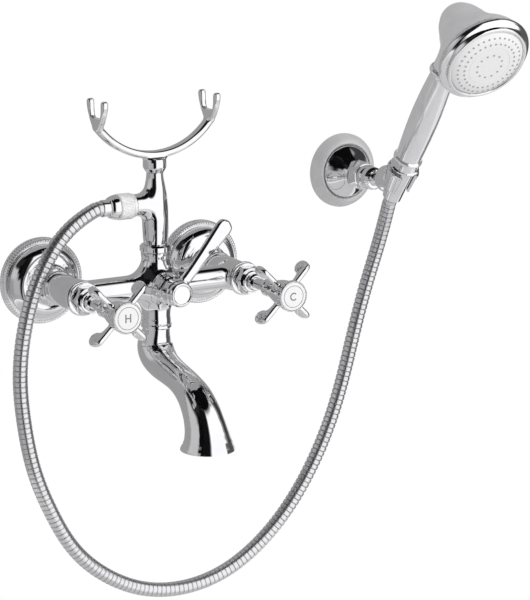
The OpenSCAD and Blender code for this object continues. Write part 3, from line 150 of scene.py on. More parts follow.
def moved(points, matrix):
    m = np.array(matrix)
    return np.asarray(points) @ m[:3, :3].T + m[:3, 3]


def catmull(points, per_span=6, closed=False):
    """Dense points on a smooth curve through the given ones."""
    p = np.asarray(points, float)
    n = len(p)
    spans = n if closed else n - 1
    out = []
    for i in range(spans):
        a = p[(i - 1) % n] if closed or i > 0 else 2 * p[0] - p[1]
        b, c = p[i], p[(i + 1) % n]
        d = p[(i + 2) % n] if closed or i < n - 2 else 2 * p[-1] - p[-2]
        for t in np.arange(per_span) / per_span:
            out.append(0.5 * (2 * b + (c - a) * t + (2 * a - 5 * b + 4 * c - d) * t * t
                              + (3 * b - a - 3 * c + d) * t ** 3))
    if not closed:
        out.append(p[-1])
    return np.array(out)


def turned_points(profile, sides, swell=None):
    """Rings of a turned form; swell(angle, r, z) gives a change of radius."""
    r, z = np.asarray(profile, float).T
    angle = np.linspace(0, 2 * math.pi, sides, endpoint=False)
    a, rr = np.meshgrid(angle, r, indexing="ij")
    zz = np.broadcast_to(z, rr.shape)
    if swell is not None:
        rr = rr + swell(a, rr, zz)
    return np.stack([rr * np.cos(a), rr * np.sin(a), zz], -1)


def turn(name, profile, matrix, material, sides=96, closed=True, sharp=30, swell=None):
    """Turned piece; a closed profile is a ring, an open one starts and ends on the axis."""
    grid = turned_points(profile, sides, swell)
    count = grid.shape[1]
    points = grid.reshape(-1, 3)
    faces = []
    last = count if closed else count - 1
    for i in range(sides):
        j = (i + 1) % sides
        for k in range(last):
            m = (k + 1) % count
            faces.append((i * count + k, j * count + k, j * count + m, i * count + m))
    if not closed:
        faces.append([i * count for i in range(sides)][::-1])
        faces.append([i * count + count - 1 for i in range(sides)])
    return add_mesh(name, moved(points, matrix), faces, material, sharp)


def hexagon(flats, low, high, turned):
    """Swell that cuts six wrench flats between two heights of a turned form."""
    def swell(angle, r, z):
        off = ((angle + turned) % (math.pi / 3)) - math.pi / 6
        cut = np.minimum(flats / 2 / np.cos(off) - r, 0)
        return np.where((z > low) & (z < high) & (r > flats / 2 - 0.4), cut, 0)
    return swell


# Distance fields for cast pieces whose parts flow into each other

def in_frame(shape, matrix):
    back = np.array(matrix.inverted())
    return lambda p: shape(p @ back[:3, :3].T + back[:3, 3])


def outline_distance(outline):
    """Signed distance to a closed outline in a plane, negative inside."""
    o = np.asarray(outline, float)
    nxt = np.roll(o, -1, axis=0)

    def distance(x, y):
        best = np.full(x.shape, np.inf)
        inside = np.zeros(x.shape, bool)
        for (ax, ay), (bx, by) in zip(o, nxt):
            ex, ey = bx - ax, by - ay
            wx, wy = x - ax, y - ay
            t = np.clip((wx * ex + wy * ey) / max(ex * ex + ey * ey, 1e-12), 0, 1)
            best = np.minimum(best, (wx - ex * t) ** 2 + (wy - ey * t) ** 2)
            if ay != by:
                crosses = (ay > y) != (by > y)
                inside ^= crosses & (x < ex * (y - ay) / ey + ax)
        return np.where(inside, -1, 1) * np.sqrt(best)
    return distance


def turned_form(profile):
    """Solid turned about local z; the profile runs from axis to axis."""
    p = np.asarray(profile, float)
    flat = outline_distance(np.concatenate([p, p[::-1] * [-1, 1]]))
    return lambda q: flat(np.hypot(q[:, 0], q[:, 1]), q[:, 2])


def plate_form(outline, half, edge):
    """Outline in local x, y with the given half thickness in z and rounded edges."""
    flat = outline_distance(outline)

    def shape(q):
        s = flat(q[:, 0], q[:, 1]) + edge
        h = np.abs(q[:, 2]) - (half - edge)
        return np.minimum(np.maximum(s, h), 0) + np.hypot(np.maximum(s, 0), np.maximum(h, 0)) - edge
    return shape


def ball_form(centre, radii):
    c, r = np.asarray(centre, float), np.asarray(radii, float)

    def shape(q):
        k = np.linalg.norm((q - c) / r, axis=1)
        g = np.linalg.norm((q - c) / (r * r), axis=1)
        return k * (k - 1) / np.maximum(g, 1e-9)
    return shape


def joined(soft, *shapes):
    """Union with a fillet about as wide as soft."""
    def shape(q):
        d = shapes[0](q)
        for s in shapes[1:]:
            e = s(q)
            h = np.clip(0.5 + 0.5 * (e - d) / soft, 0, 1)
            d = e * (1 - h) + d * h - soft * h * (1 - h)
        return d
    return shape


def cut_from(soft, shape, *tools):
    def left(q):
        d = shape(q)
        for s in tools:
            e = -s(q)
            h = np.clip(0.5 - 0.5 * (e - d) / soft, 0, 1)
            d = e * (1 - h) + d * h + soft * h * (1 - h)
        return d
    return left


def slope_of(shape, p, step=0.02):
    g = np.empty_like(p)
    for k in range(3):
        e = np.zeros(3)
        e[k] = step
        g[:, k] = (shape(p + e) - shape(p - e)) / (2 * step)
    return g


def cast(name, shape, low, high, step, material):
    """Closed even mesh of a distance field's surface, with normals from the field."""
    low, high = np.array(low, float), np.array(high, float)
    big = 4 * step
    n = np.ceil((high - low) / big).astype(int)
    grid = np.stack(np.meshgrid(*[np.arange(k) for k in n], indexing="ij"), -1).reshape(-1, 3)
    far = shape(low + (grid + 0.5) * big).reshape(n)
    d = far.repeat(4, 0).repeat(4, 1).repeat(4, 2)
    near = (np.abs(d) < 1.05 * big).nonzero()
    at = np.stack(near, -1)
    d[near] = shape(low + (at + 0.5) * step)
    full = d < 0
    corner = sum(
        full[i:full.shape[0] - 1 + i, j:full.shape[1] - 1 + j, k:full.shape[2] - 1 + k].astype(np.int8)
        for i in (0, 1) for j in (0, 1) for k in (0, 1))
    active = (corner > 0) & (corner < 8)
    index = np.full(active.shape, -1)
    cells = np.stack(active.nonzero(), -1)
    index[active] = np.arange(len(cells))
    start = low + (cells + 1.0) * step
    p = start.copy()
    for _ in range(5):
        g = slope_of(shape, p)
        size = np.maximum((g * g).sum(1), 0.05)
        p = p - (shape(p) / size)[:, None] * g
        p = np.clip(p, start - 1.2 * step, start + 1.2 * step)
    faces = []
    for axis in range(3):
        u, v = (axis + 1) % 3, (axis + 2) % 3
        ahead = np.roll(full, -1, axis)
        change = full != ahead
        lim = [slice(1, s - 1) for s in full.shape]
        lim[axis] = slice(0, full.shape[axis] - 1)
        mask = np.zeros_like(change)
        mask[tuple(lim)] = change[tuple(lim)]
        e = np.stack(mask.nonzero(), -1)
        step_u, step_v = np.eye(3, dtype=int)[u], np.eye(3, dtype=int)[v]
        ring = [e - step_u - step_v, e - step_v, e, e - step_u]
        quad = np.stack([index[tuple(c.T)] for c in ring], -1)
        flip = ~full[tuple(e.T)]
        quad[flip] = quad[flip][:, ::-1]
        faces.append(quad)
    faces = np.concatenate(faces)
    faces = faces[(faces >= 0).all(1)]
    g = slope_of(shape, p, 0.06)
    g /= np.maximum(np.linalg.norm(g, axis=1), 1e-9)[:, None]
    return add_mesh(name, p, faces, material, normals=g)


# Materials

def blank(name):
    material = bpy.data.materials.new(name)
    material.use_nodes = True
    tree = material.node_tree
    return material, tree, tree.nodes["Principled BSDF"]


def noise(tree, scale, detail=2.0, stretch=(1, 1, 1)):
    where = tree.nodes.new("ShaderNodeTexCoord")
    mapping = tree.nodes.new("ShaderNodeMapping")
    mapping.inputs["Scale"].default_value = stretch
    texture = tree.nodes.new("ShaderNodeTexNoise")
    texture.inputs["Scale"].default_value = scale
    texture.inputs["Detail"].default_value = detail
    tree.links.new(where.outputs["Object"], mapping.inputs["Vector"])
    tree.links.new(mapping.outputs["Vector"], texture.inputs["Vector"])
    return texture


def spread_to(tree, value, low, high, socket):
    ranged = tree.nodes.new("ShaderNodeMapRange")
    ranged.inputs["From Min"].default_value = 0.3
    ranged.inputs["From Max"].default_value = 0.7
    ranged.inputs["To Min"].default_value = low
    ranged.inputs["To Max"].default_value = high
    tree.links.new(value, ranged.inputs["Value"])
    tree.links.new(ranged.outputs["Result"], socket)


def bumped(tree, height, strength, distance, shader):
    bump = tree.nodes.new("ShaderNodeBump")
    bump.inputs["Strength"].default_value = strength
    bump.inputs["Distance"].default_value = distance
    tree.links.new(height, bump.inputs["Height"])
    tree.links.new(bump.outputs["Normal"], shader.inputs["Normal"])


def tinted(tree, value, dark, light, socket):
    ramp = tree.nodes.new("ShaderNodeValToRGB")
    ramp.color_ramp.elements[0].position = 0.3
    ramp.color_ramp.elements[0].color = (*dark, 1)
    ramp.color_ramp.elements[1].position = 0.7
    ramp.color_ramp.elements[1].color = (*light, 1)
    tree.links.new(value, ramp.inputs["Fac"])
    tree.links.new(ramp.outputs["Color"], socket)


def metal(name, dark, light, rough, grain, ripple=0.0, metallic=1.0):
    """Plated or bare metal: colour and polish vary a little, with a faint ripple."""
    material, tree, shader = blank(name)
    shader.inputs["Metallic"].default_value = metallic
    cloud = noise(tree, grain, 3.0)
    tinted(tree, cloud.outputs["Fac"], dark, light, shader.inputs["Base Color"])
    fine = noise(tree, grain * 9, 2.0)
    spread_to(tree, fine.outputs["Fac"], rough[0], rough[1], shader.inputs["Roughness"])
    if ripple:
        bumped(tree, cloud.outputs["Fac"], 0.25, ripple, shader)
    return material


def plain(name, dark, light, rough, grain, height=0.00003):
    """Moulded, fired or rubber surface with a fine grain."""
    material, tree, shader = blank(name)
    fine = noise(tree, grain, 3.0)
    tinted(tree, fine.outputs["Fac"], dark, light, shader.inputs["Base Color"])
    spread_to(tree, fine.outputs["Fac"], rough[0], rough[1], shader.inputs["Roughness"])
    bumped(tree, fine.outputs["Fac"], 0.3, height, shader)
    return material


CHROME = metal("polished_chrome", (0.80, 0.80, 0.82), (0.86, 0.86, 0.87), (0.03, 0.06), 60)
SATIN = metal("soft_chrome", (0.85, 0.85, 0.87), (0.91, 0.91, 0.92), (0.06, 0.11), 60)
MATT = metal("matt_chrome", (0.84, 0.84, 0.86), (0.90, 0.90, 0.91), (0.46, 0.54), 90, 0.0, 0.66)
GRIP_METAL = metal("grip_chrome", (0.86, 0.86, 0.88), (0.92, 0.92, 0.93), (0.07, 0.14), 70, 0.00012, 0.72)
MILLED = metal("milled_chrome", (0.86, 0.86, 0.87), (0.92, 0.92, 0.93), (0.16, 0.26), 300, 0.0, 0.8)
PALE = metal("knurled_chrome", (0.88, 0.88, 0.89), (0.94, 0.94, 0.95), (0.34, 0.46), 300, 0.0, 0.45)
HOSE_METAL = metal("hose_steel", (0.69, 0.69, 0.71), (0.76, 0.76, 0.77), (0.18, 0.28), 220, 0.0, 0.95)
# Darker steel for the hose's groove faces: painted shade between the turns of strip.
HOSE_GROOVE_SHADE = metal("hose_groove_painted_shade", (0.52, 0.52, 0.53), (0.60, 0.60, 0.61), (0.30, 0.40), 220)
PLATE_METAL = metal("satin_plate", (0.64, 0.64, 0.65), (0.70, 0.70, 0.71), (0.50, 0.60), 90, 0.0, 0.35)
BRASS = metal("bare_brass", (0.62, 0.44, 0.20), (0.72, 0.54, 0.27), (0.22, 0.34), 160)
STEEL = metal("screw_steel", (0.52, 0.53, 0.55), (0.62, 0.63, 0.65), (0.24, 0.36), 240)
RUBBER = plain("black_rubber", (0.012, 0.012, 0.013), (0.022, 0.022, 0.023), (0.55, 0.7), 700)
NOZZLE = plain("grey_silicone", (0.34, 0.35, 0.36), (0.42, 0.43, 0.44), (0.45, 0.6), 900)
CERAMIC = plain("valve_ceramic", (0.72, 0.70, 0.66), (0.80, 0.78, 0.74), (0.2, 0.3), 500)
ENAMEL = plain("white_enamel", (0.88, 0.88, 0.88), (0.92, 0.92, 0.92), (0.10, 0.18), 260, 0.00001)
PLASTIC = plain("white_plastic", (0.88, 0.88, 0.88), (0.92, 0.92, 0.92), (0.26, 0.38), 900, 0.00002)
INK = plain("grey_ink", (0.20, 0.20, 0.21), (0.26, 0.26, 0.27), (0.35, 0.5), 600)

NODE_LOOK = {
    BRASS: ["inlet_tail_left", "inlet_tail_right", "spout_nipple", "diverter_rotor"],
    RUBBER: ["union_washers", "seat_seals", "spindle_ring_left", "spindle_ring_right",
             "diverter_ring", "riser_ring", "hose_washer", "head_seal"],
    CERAMIC: ["fixed_discs", "moving_disc_left", "moving_disc_right"],
    STEEL: ["handle_screw_left", "handle_screw_right", "lever_screw", "cradle_screw",
            "bracket_plate", "bracket_screws"],
    PLASTIC: ["spray_face", "flow_straightener", "ball_pad"],
    NOZZLE: ["spray_nozzles"],
    ENAMEL: ["index_disc_left", "index_disc_right"],
    SATIN: ["bracket_flange", "ball_ring", "handset_holder", "cone_nut", "handset_handle", "handset_head",
            "bezel_ring"],
    HOSE_METAL: ["shower_hose"],
    PALE: ["hose_nut"],
}
look_of = {n: m for m, names in NODE_LOOK.items() for n in names}
for node_name, node in nodes.items():
    node.data.materials.clear()
    node.data.materials.append(look_of.get(node_name, CHROME))

# Shower hose: one route, in two lengths that meet below the holder

HOSE_R = 6.2
HOSE_ROUTE = [
    (-36.4, -66, 68.5), (-48.8, -66, 68.5), (-56, -66, 67.5), (-72, -66, 59.5), (-87, -66, 48),
    (-108, -66, 14), (-120, -66, -24), (-125, -66, -63), (-122, -66, -102), (-115, -66, -141),
    (-101, -66, -178), (-79, -65, -218), (-49, -65, -246), (-12, -64, -265), (28, -64, -270),
    (68, -63, -262), (104, -62, -241), (133, -61, -213), (157, -60, -179), (175, -60, -142),
    (188, -60, -104), (198, -61, -64), (209, -62, -25), (219, -67, 13), (222, -78.3, 50.4),
    (222, -85.9, 62.1),
]
HOSE_PITCH = 4.35
HOSE_SIDES = 22
# Share of one turn of the strip, and how deep the surface lies there
HOSE_STAGES = [(0.0, 0.03), (0.20, 0.0), (0.52, 0.0), (0.74, 0.03), (0.79, 0.6), (0.86, 0.85), (0.94, 0.6)]
HOSE_SPLIT_Z = -84.0
HOSE_EASE, HOSE_STILL, HOSE_FADE = 14.0, 14, 40
ROUTE_STEPS = 40
# Faces deeper than this dip take the darker steel as painted shade in the grooves.
GROOVE_SHADE_FROM = 0.5


def run_along(line):
    """Length of the line up to each of its points."""
    return np.concatenate([[0], np.cumsum(np.linalg.norm(np.diff(line, axis=0), axis=1))])


def points_at(line, run, at):
    return np.stack([np.interp(at, run, line[:, k]) for k in range(3)], 1)


def eased(line):
    """The line at even steps, with its bends evened out away from the ends."""
    run = run_along(line)
    at = np.linspace(0, run[-1], int(run[-1]))
    even = points_at(line, run, at)
    reach = int(3 * HOSE_EASE)
    weight = np.exp(-0.5 * (np.arange(-reach, reach + 1) / HOSE_EASE) ** 2)
    padded = np.concatenate([2 * even[0] - even[reach:0:-1], even, 2 * even[-1] - even[-2:-reach - 2:-1]])
    soft = np.stack([np.convolve(padded[:, k], weight / weight.sum(), "valid") for k in range(3)], 1)
    share = np.clip((np.minimum(at, at[-1] - at) - HOSE_STILL) / HOSE_FADE, 0, 1)[:, None]
    return even + (soft - even) * share * share * (3 - 2 * share)


def hose_line():
    """Even points on the route, straight at both ends."""
    p = np.array(HOSE_ROUTE, float)
    dense = catmull(p, ROUTE_STEPS)
    first = np.linspace(p[0], p[1], ROUTE_STEPS, endpoint=False)
    last = np.linspace(p[-2], p[-1], ROUTE_STEPS + 1)
    dense = eased(np.concatenate([first, dense[ROUTE_STEPS:-ROUTE_STEPS - 1], last]))
    run = run_along(dense)
    turns = int(round(run[-1] / HOSE_PITCH))
    at = np.array([(n + share) / turns * run[-1] for n in range(turns) for share, _ in HOSE_STAGES] + [run[-1]])
    dip = np.array([d for _ in range(turns) for _, d in HOSE_STAGES] + [HOSE_STAGES[0][1]])
    return points_at(dense, run, at), at, dip


def hose_length(name, line, dip):
    """Stretch of interlocked hose: flat turns of strip with a groove between them, the groove faces in a darker steel
    as painted shade.
    """
    heading = np.gradient(line, axis=0)
    heading /= np.linalg.norm(heading, axis=1)[:, None]
    u = np.cross(heading, [0, 1, 0])
    u /= np.linalg.norm(u, axis=1)[:, None]
    v = np.cross(heading, u)
    angle = np.linspace(0, 2 * math.pi, HOSE_SIDES, endpoint=False)
    radius = (HOSE_R - dip)[:, None, None]
    points = (line[:, None] + radius
              * (np.cos(angle)[None, :, None] * u[:, None] + np.sin(angle)[None, :, None] * v[:, None]))
    rings = len(line)
    i, k = np.meshgrid(np.arange(rings - 1), np.arange(HOSE_SIDES), indexing="ij")
    a, b = i * HOSE_SIDES + k, i * HOSE_SIDES + (k + 1) % HOSE_SIDES
    faces = np.stack([a, b, b + HOSE_SIDES, a + HOSE_SIDES], -1).reshape(-1, 4).tolist()
    faces.append(list(range(HOSE_SIDES))[::-1])
    faces.append([(rings - 1) * HOSE_SIDES + k for k in range(HOSE_SIDES)])
    made = add_mesh(name, points.reshape(-1, 3), faces, HOSE_METAL, sharp=36)
    # The groove faces get the darker steel: painted shade in the grooves.
    made.data.materials.append(HOSE_GROOVE_SHADE)
    deep = np.minimum(dip[:-1], dip[1:]) > GROOVE_SHADE_FROM
    which = np.concatenate([deep.repeat(HOSE_SIDES), [False, False]]).astype(int)
    made.data.polygons.foreach_set("material_index", which.tolist())
    return made


route, along, dips = hose_line()
half = len(route) // 2
split = half + int(np.argmin(np.abs(route[half:, 2] - HOSE_SPLIT_Z)))
hose_loop = hose_length("shower_hose_loop", route[:split + 1], dips[:split + 1])
hose_tail = hose_length("shower_hose_tail", route[split:], dips[split:])
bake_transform(hose_loop)
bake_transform(hose_tail)
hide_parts("shower_hose")
SLEEVE = np.concatenate([
    [(6.3, 35.4), (9.9, 35.4)], catmull([(10.2, 35.8), (10.3, 36.8), (9.9, 38.8), (9.2, 41.0), (8.5, 42.4)], 3),
    [(7.6, 42.9), (7.0, 43.5), (7.0, 49.0), (6.6, 49.4), (6.3, 49.4)]])
hose_sleeve = turn("hose_sleeve", SLEEVE, leftward(OUTLET_Z, 0), CHROME)
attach(hose_sleeve, "fixed")
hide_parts("hose_ferrule")


def dress(piece, body, slot, *replaced):
    """The piece rides on a body and stands for the given nodes; slot is not used."""
    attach(piece, body)
    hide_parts(*replaced)
    return piece


# Wall flanges: smooth dome inside a reeded rim

FLANGE_RIM = [(32.4, 0), (36.1, 0), (36.5, 0.4), (36.5, 3.2), (36.2, 3.7), (35.6, 4.1), (35.9, 4.6), (36.2, 5.3),
              (36.0, 6.7), (35.3, 7.8), (34.5, 8.3), (33.7, 8.1), (33.1, 7.2), (32.4, 6.3)]
DOME_ROUND, DOME_FOOT, DOME_RISE = 12.92, 7.0, 13.0
FLANGE_DOME = [(32.0 - DOME_ROUND * (1 - math.cos(a)), DOME_FOOT + DOME_RISE * math.sin(a))
               for a in np.linspace(0, math.pi / 2, 15)]
FLANGE_FOOT = [(19.08, 20.0), (17.4, 20.4), (15.9, 22.2), (14.7, 25.0), (14.0, 29.0), (13.7, 33.0)]
REEDS, REED_DEPTH, REED_FROM = 92, 0.9, 33.9


def reeds(angle, r, z):
    """Grooves round the rim, none on its back."""
    band = np.clip((r - REED_FROM) / 0.8, 0, 1) * np.clip(z / 0.4, 0, 1)
    return -REED_DEPTH * band * np.clip(3.2 * np.abs(((angle * REEDS / math.pi) % 2) - 1) - 1.6, 0, 1)


flange_loop = np.concatenate([
    [(18.24, 0), (32.6, 0), (32.6, 6.6)], FLANGE_DOME[:-1], catmull(FLANGE_FOOT, 4),
    [(12.5, 33.0), (12.5, 15.8), (18.24, 15.8)]])
for side, x in (("left", -VALVE_X), ("right", VALVE_X)):
    piece = turn(f"wall_flange_dish_{side}", flange_loop, outward(x, 0, 0), CHROME, 144)
    dress(piece, "fixed", "chrome", f"wall_flange_{side}")
    piece = turn(f"wall_flange_rim_{side}", FLANGE_RIM, outward(x, 0, 0), MILLED, 8 * REEDS, swell=reeds)
    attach(piece, "fixed")

# Mixer body: one casting

CHAMBER = [
    (0, 9), (12.08, 9), (12.08, 34.5), (13.4, 34.5), (13.3, 42.5), (12.7, 73.9), (12.7, 79.9), (0, 79.9),
]
COLLAR = [
    (12.4, 34.5), (13.7, 34.5), (14.3, 35.0), (14.5, 35.7), (14.5, 36.5), (14.1, 37.4), (13.4, 38.0), (12.4, 38.2),
]
ARM = [(0, -71), (10.4, -71), (10.4, 71), (0, 71)]
MIDDLE = np.concatenate([
    [(0, -32), (12.4, -32)],
    catmull([(12.4, -29), (12.0, -25), (12.8, -18), (14.2, -11), (15.2, -5), (15.5, 0), (15.2, 5),
             (14.2, 11), (12.8, 17), (12.0, 22), (12.4, 25.5)], 3),
    [(12.4, 28), (0, 28)]])
BOSS = np.concatenate([
    [(0, 0), (14.4, 0)], catmull([(14.4, 6), (13.9, 10), (12.9, 14), (12.3, 18), (12.2, 21)], 3),
    [(12.2, 26), (0, 26)]])
ALONG_X = axes_matrix((0, 1, 0), (0, 0, 1), (1, 0, 0), (0, -BODY_OUT, 0))
middle = joined(
    13.0, in_frame(turned_form(ARM), ALONG_X), in_frame(turned_form(MIDDLE), COLUMN))
middle = joined(6.0, middle, in_frame(turned_form(BOSS), outward(0, 0, BODY_OUT)))
body = joined(
    5.0, middle, in_frame(turned_form(CHAMBER), outward(-VALVE_X, 0, 0)),
    in_frame(turned_form(CHAMBER), outward(VALVE_X, 0, 0)))
piece = cast("mixer_casting", body, (-92, -95, -36), (92, -6, 32), 1.25, CHROME)
dress(piece, "fixed", "chrome", "mixer_body")
for side, x in (("left", -VALVE_X), ("right", VALVE_X)):
    piece = turn(f"chamber_collar_{side}", COLLAR, outward(x, 0, 0), CHROME)
    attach(piece, "fixed")

# Riser with its outlet

RISER = np.concatenate([
    [(0, 12.5), (8, 12.5), (8, 34.5), (9.8, 34.5)],
    catmull([(9.9, 35), (10.5, 41), (11, 52), (11, 62), (10.4, 72), (9.2, 80), (8.0, 86), (7.3, 90)], 4),
    [(7.0, 94.5), (4, 94.5), (4, 103.5), (0, 103.5)]])
OUTLET = [(0, 0), (9.4, 0), (9.4, 11), (9.0, 20.5), (8, 20.5), (8, 26.9), (0, 26.9)]
riser = joined(7.0, in_frame(turned_form(RISER), COLUMN), in_frame(turned_form(OUTLET), leftward(OUTLET_Z, 0)))
piece = cast("riser_casting", riser, (-30, -80, 8), (14, -52, 107), 0.95, CHROME)
dress(piece, "fixed", "chrome", "riser")

# Cradle with its two forks

CRADLE_R, CRADLE_Z = 64.5, 173.5
SWING = math.radians(52.0)
FORK_X, FORK_Z = 51.3, 148.2
NECK = np.concatenate([
    [(0, 94.5), (7.3, 94.5)], catmull([(7.3, 94.5), (9.4, 97.8), (9.9, 99.4), (9.9, 103)], 4),
    [(9.5, 105.6), (8.3, 106.5), (0, 106.5)]])


def cradle_bar(q):
    x, y, z = q[:, 0], q[:, 1] + BODY_OUT, q[:, 2] - CRADLE_Z
    angle = np.clip(np.arctan2(x, -z), -SWING, SWING)
    dx, dz = x - CRADLE_R * np.sin(angle), z + CRADLE_R * np.cos(angle)
    dy = np.maximum(np.abs(y) - 1.9, 0)
    return np.sqrt(dx * dx + dz * dz + dy * dy) - 3.2


def fork_outline():
    """Half of the fork from its foot round the prong into the notch, and the same mirrored."""
    outer = catmull(
        [(0, -15.4), (4.4, -14.2), (8.0, -10.8), (11.0, -6.2), (13.4, -1.4), (14.9, 3.0), (15.4, 6.5)], 4)
    cap = np.linspace(0, math.pi, 9)
    tip = np.stack([12.6 + 2.8 * np.cos(cap), 6.5 + 2.8 * np.sin(cap)], 1)
    inner = np.array([(9.7, 3.0), (9.5, 0.0), (8.8, -3.4), (7.8, -4.9), (6.6, -5.5)])
    half = np.concatenate([outer[1:-1], tip, inner])
    return np.concatenate([outer[:1], half, half[::-1] * [-1, 1]])


fork = plate_form(fork_outline(), 2.7, 1.7)
forks = [in_frame(fork, axes_matrix((0, 1, 0), (0, 0, 1), (1, 0, 0), (s * FORK_X, -BODY_OUT, FORK_Z)))
         for s in (-1, 1)]
cradle = joined(3.5, in_frame(turned_form(NECK), COLUMN), cradle_bar)
cradle = joined(3.0, cradle, *forks)
piece = cast("handset_cradle", cradle, (-60, -84, 92), (60, -48, 160), 0.95, CHROME)
dress(piece, "fixed", "chrome", "cradle")

# Spout: swept along its curve; shares of its reach and drop, and the radius there

SPOUT = [
    (0, 0, 11.3), (-0.02, 0.09, 12.8), (-0.035, 0.19, 14.9), (0.02, 0.28, 15.1), (0.135, 0.345, 13.9),
    (0.29, 0.385, 12.6), (0.46, 0.42, 12.2), (0.62, 0.47, 12.9), (0.77, 0.55, 14.3), (0.885, 0.665, 15.6),
    (0.95, 0.775, 16.9), (0.983, 0.865, 18.5), (0.996, 0.93, 20.3), (1, 0.975, 21.9), (1, 1, 22.5),
]
SPOUT_TOP, SPOUT_REACH, SPOUT_DROP = -36.0, 86.5, 83.0
SPOUT_SIDES = 72


def spout_mesh():
    s = catmull(SPOUT, 9)
    y = -BODY_OUT - s[:, 0] * SPOUT_REACH
    z = SPOUT_TOP - s[:, 1] * SPOUT_DROP
    r = s[:, 2]
    smooth = np.ones(5) / 5
    r = np.convolve(np.pad(r, 2, mode="edge"), smooth, "valid")
    r[0] = SPOUT[0][2]
    down = np.array([0, -1.0])
    heading = np.stack([np.gradient(y), np.gradient(z)], 1)
    heading /= np.linalg.norm(heading, axis=1)[:, None]
    fade = np.clip(np.minimum(np.arange(len(y)) / 6.0, np.arange(len(y))[::-1] / 18.0), 0, 1)[:, None]
    heading = heading * fade + down * (1 - fade)
    heading /= np.linalg.norm(heading, axis=1)[:, None]
    z[-1] = SPOUT_TOP - SPOUT_DROP
    rings = [(y[i], z[i], r[i], heading[i]) for i in range(len(y))]
    low_y, low_z = y[-1], z[-1]
    for rr, up in ((22.3, 0.0), (21.6, 0.0), (15.0, 0.0), (13.4, 0.4), (12.6, 1.4), (12.6, 14.0), (0.02, 14.1)):
        rings.append((low_y, low_z + up, rr, down))
    angle = np.linspace(0, 2 * math.pi, SPOUT_SIDES, endpoint=False)
    points = []
    for cy, cz, rr, (hy, hz) in rings:
        points += [(rr * math.cos(a), cy - rr * math.sin(a) * hz, cz + rr * math.sin(a) * hy) for a in angle]
    count = len(rings)
    faces = []
    for i in range(count - 1):
        for k in range(SPOUT_SIDES):
            m = (k + 1) % SPOUT_SIDES
            faces.append((i * SPOUT_SIDES + k, (i + 1) * SPOUT_SIDES + k,
                          (i + 1) * SPOUT_SIDES + m, i * SPOUT_SIDES + m))
    faces.append(list(range(SPOUT_SIDES)))
    faces.append([(count - 1) * SPOUT_SIDES + k for k in range(SPOUT_SIDES)][::-1])
    return points, faces


points, faces = spout_mesh()
piece = add_mesh("bath_spout", points, faces, CHROME, sharp=50)
dress(piece, "fixed", "chrome", "spout")

# Headworks: two beads, wrench flats and gland

HEAD_FLATS = 21.8
HEAD_CORNER = HEAD_FLATS / 2 / math.cos(math.pi / 6)
HEADWORK = np.concatenate([
    [(4.8, 79.95), (13.3, 79.95)],
    catmull([(13.8, 80.1), (14.3, 80.7), (14.2, 81.5), (13.6, 82.0)], 3), [(12.6, 82.2), (12.6, 82.8)],
    catmull([(13.4, 83.0), (13.8, 83.5), (13.8, 84.2), (13.4, 84.8)], 3),
    [(12.6, 85.0), (11.0, 85.1), (11.0, 85.9)],
    [(11.2 + (HEAD_CORNER - 11.2) * k / 4, 86.0 + 0.3 * k) for k in range(5)],
    [(HEAD_CORNER - 0.2 * k, 91.2 + 0.3 * k) for k in range(10)],
    [(9.2, 93.9), (9.2, 95.9), (8.4, 96.7), (7.2, 96.9), (7.2, 100.3), (6.0, 101.9), (4.8, 101.9)]])
for side, x in (("left", -VALVE_X), ("right", VALVE_X)):
    piece = turn(f"headwork_nut_{side}", HEADWORK, outward(x, 0, 0), CHROME, 96,
                 swell=hexagon(HEAD_FLATS, 85.95, 93.95, 0.0))
    dress(piece, "fixed", "chrome", f"headwork_{side}")

# Cross handles, their index discs and marks

HUB = np.concatenate([
    [(0, HUB_OUT), (6.6, HUB_OUT), (7.4, HUB_OUT + 1), (7.4, HUB_OUT + 4), (6.9, HUB_OUT + 5)],
    catmull([(6.9, HUB_OUT + 6), (7.2, HUB_OUT + 9.5), (8.5, HUB_OUT + 15), (10.2, HUB_OUT + 22),
             (10.9, HUB_END - 14), (11.0, HUB_END - 8.4), (11.7, HUB_END - 6)], 3),
    [(12.6, HUB_END - 4.9), (12.9, HUB_END - 4.2), (12.9, HUB_END - 1.0), (12.4, HUB_END),
     (11.9, HUB_END), (11.7, HUB_END - 1.6), (0, HUB_END - 1.6)]])
ARM_OUTLINE = catmull([
    (6, 0.2), (14, 0.3), (22, 0.4), (28, 0.8), (31, 3.2), (31.9, 8), (31.4, 12.6), (28.6, 15.5),
    (24.6, 15.2), (21.6, 12.4), (20.6, 9.2), (17.4, 7.2), (12, 6.3), (6, 6.0)], 4, closed=True)


def cross_form(x):
    base = outward(x, 0, 0)
    hub = in_frame(turned_form(HUB), base)
    arms = []
    for k in range(4):
        turn_k = Matrix.Rotation(math.radians(45 + 90 * k), 4, "Z")
        flat = axes_matrix((1, 0, 0), (0, 0, -1), (0, 1, 0), (0, 0, ARM_FRONT))
        arm = plate_form(ARM_OUTLINE, 2.2, 1.8)
        lobe = ball_form((26.4, 10.3, 0), (5.5, 5.7, 3.7))
        arms.append(in_frame(joined(3.0, arm, lobe), base @ turn_k @ flat))
    return joined(2.4, hub, *arms)


DISC = np.concatenate([[(0, 0), (11.6, 0), (11.6, 1.1)], catmull([(11.5, 1.35), (11.1, 1.62), (10.4, 1.72)], 3),
                       [(6, 1.78), (0, 1.8)]])


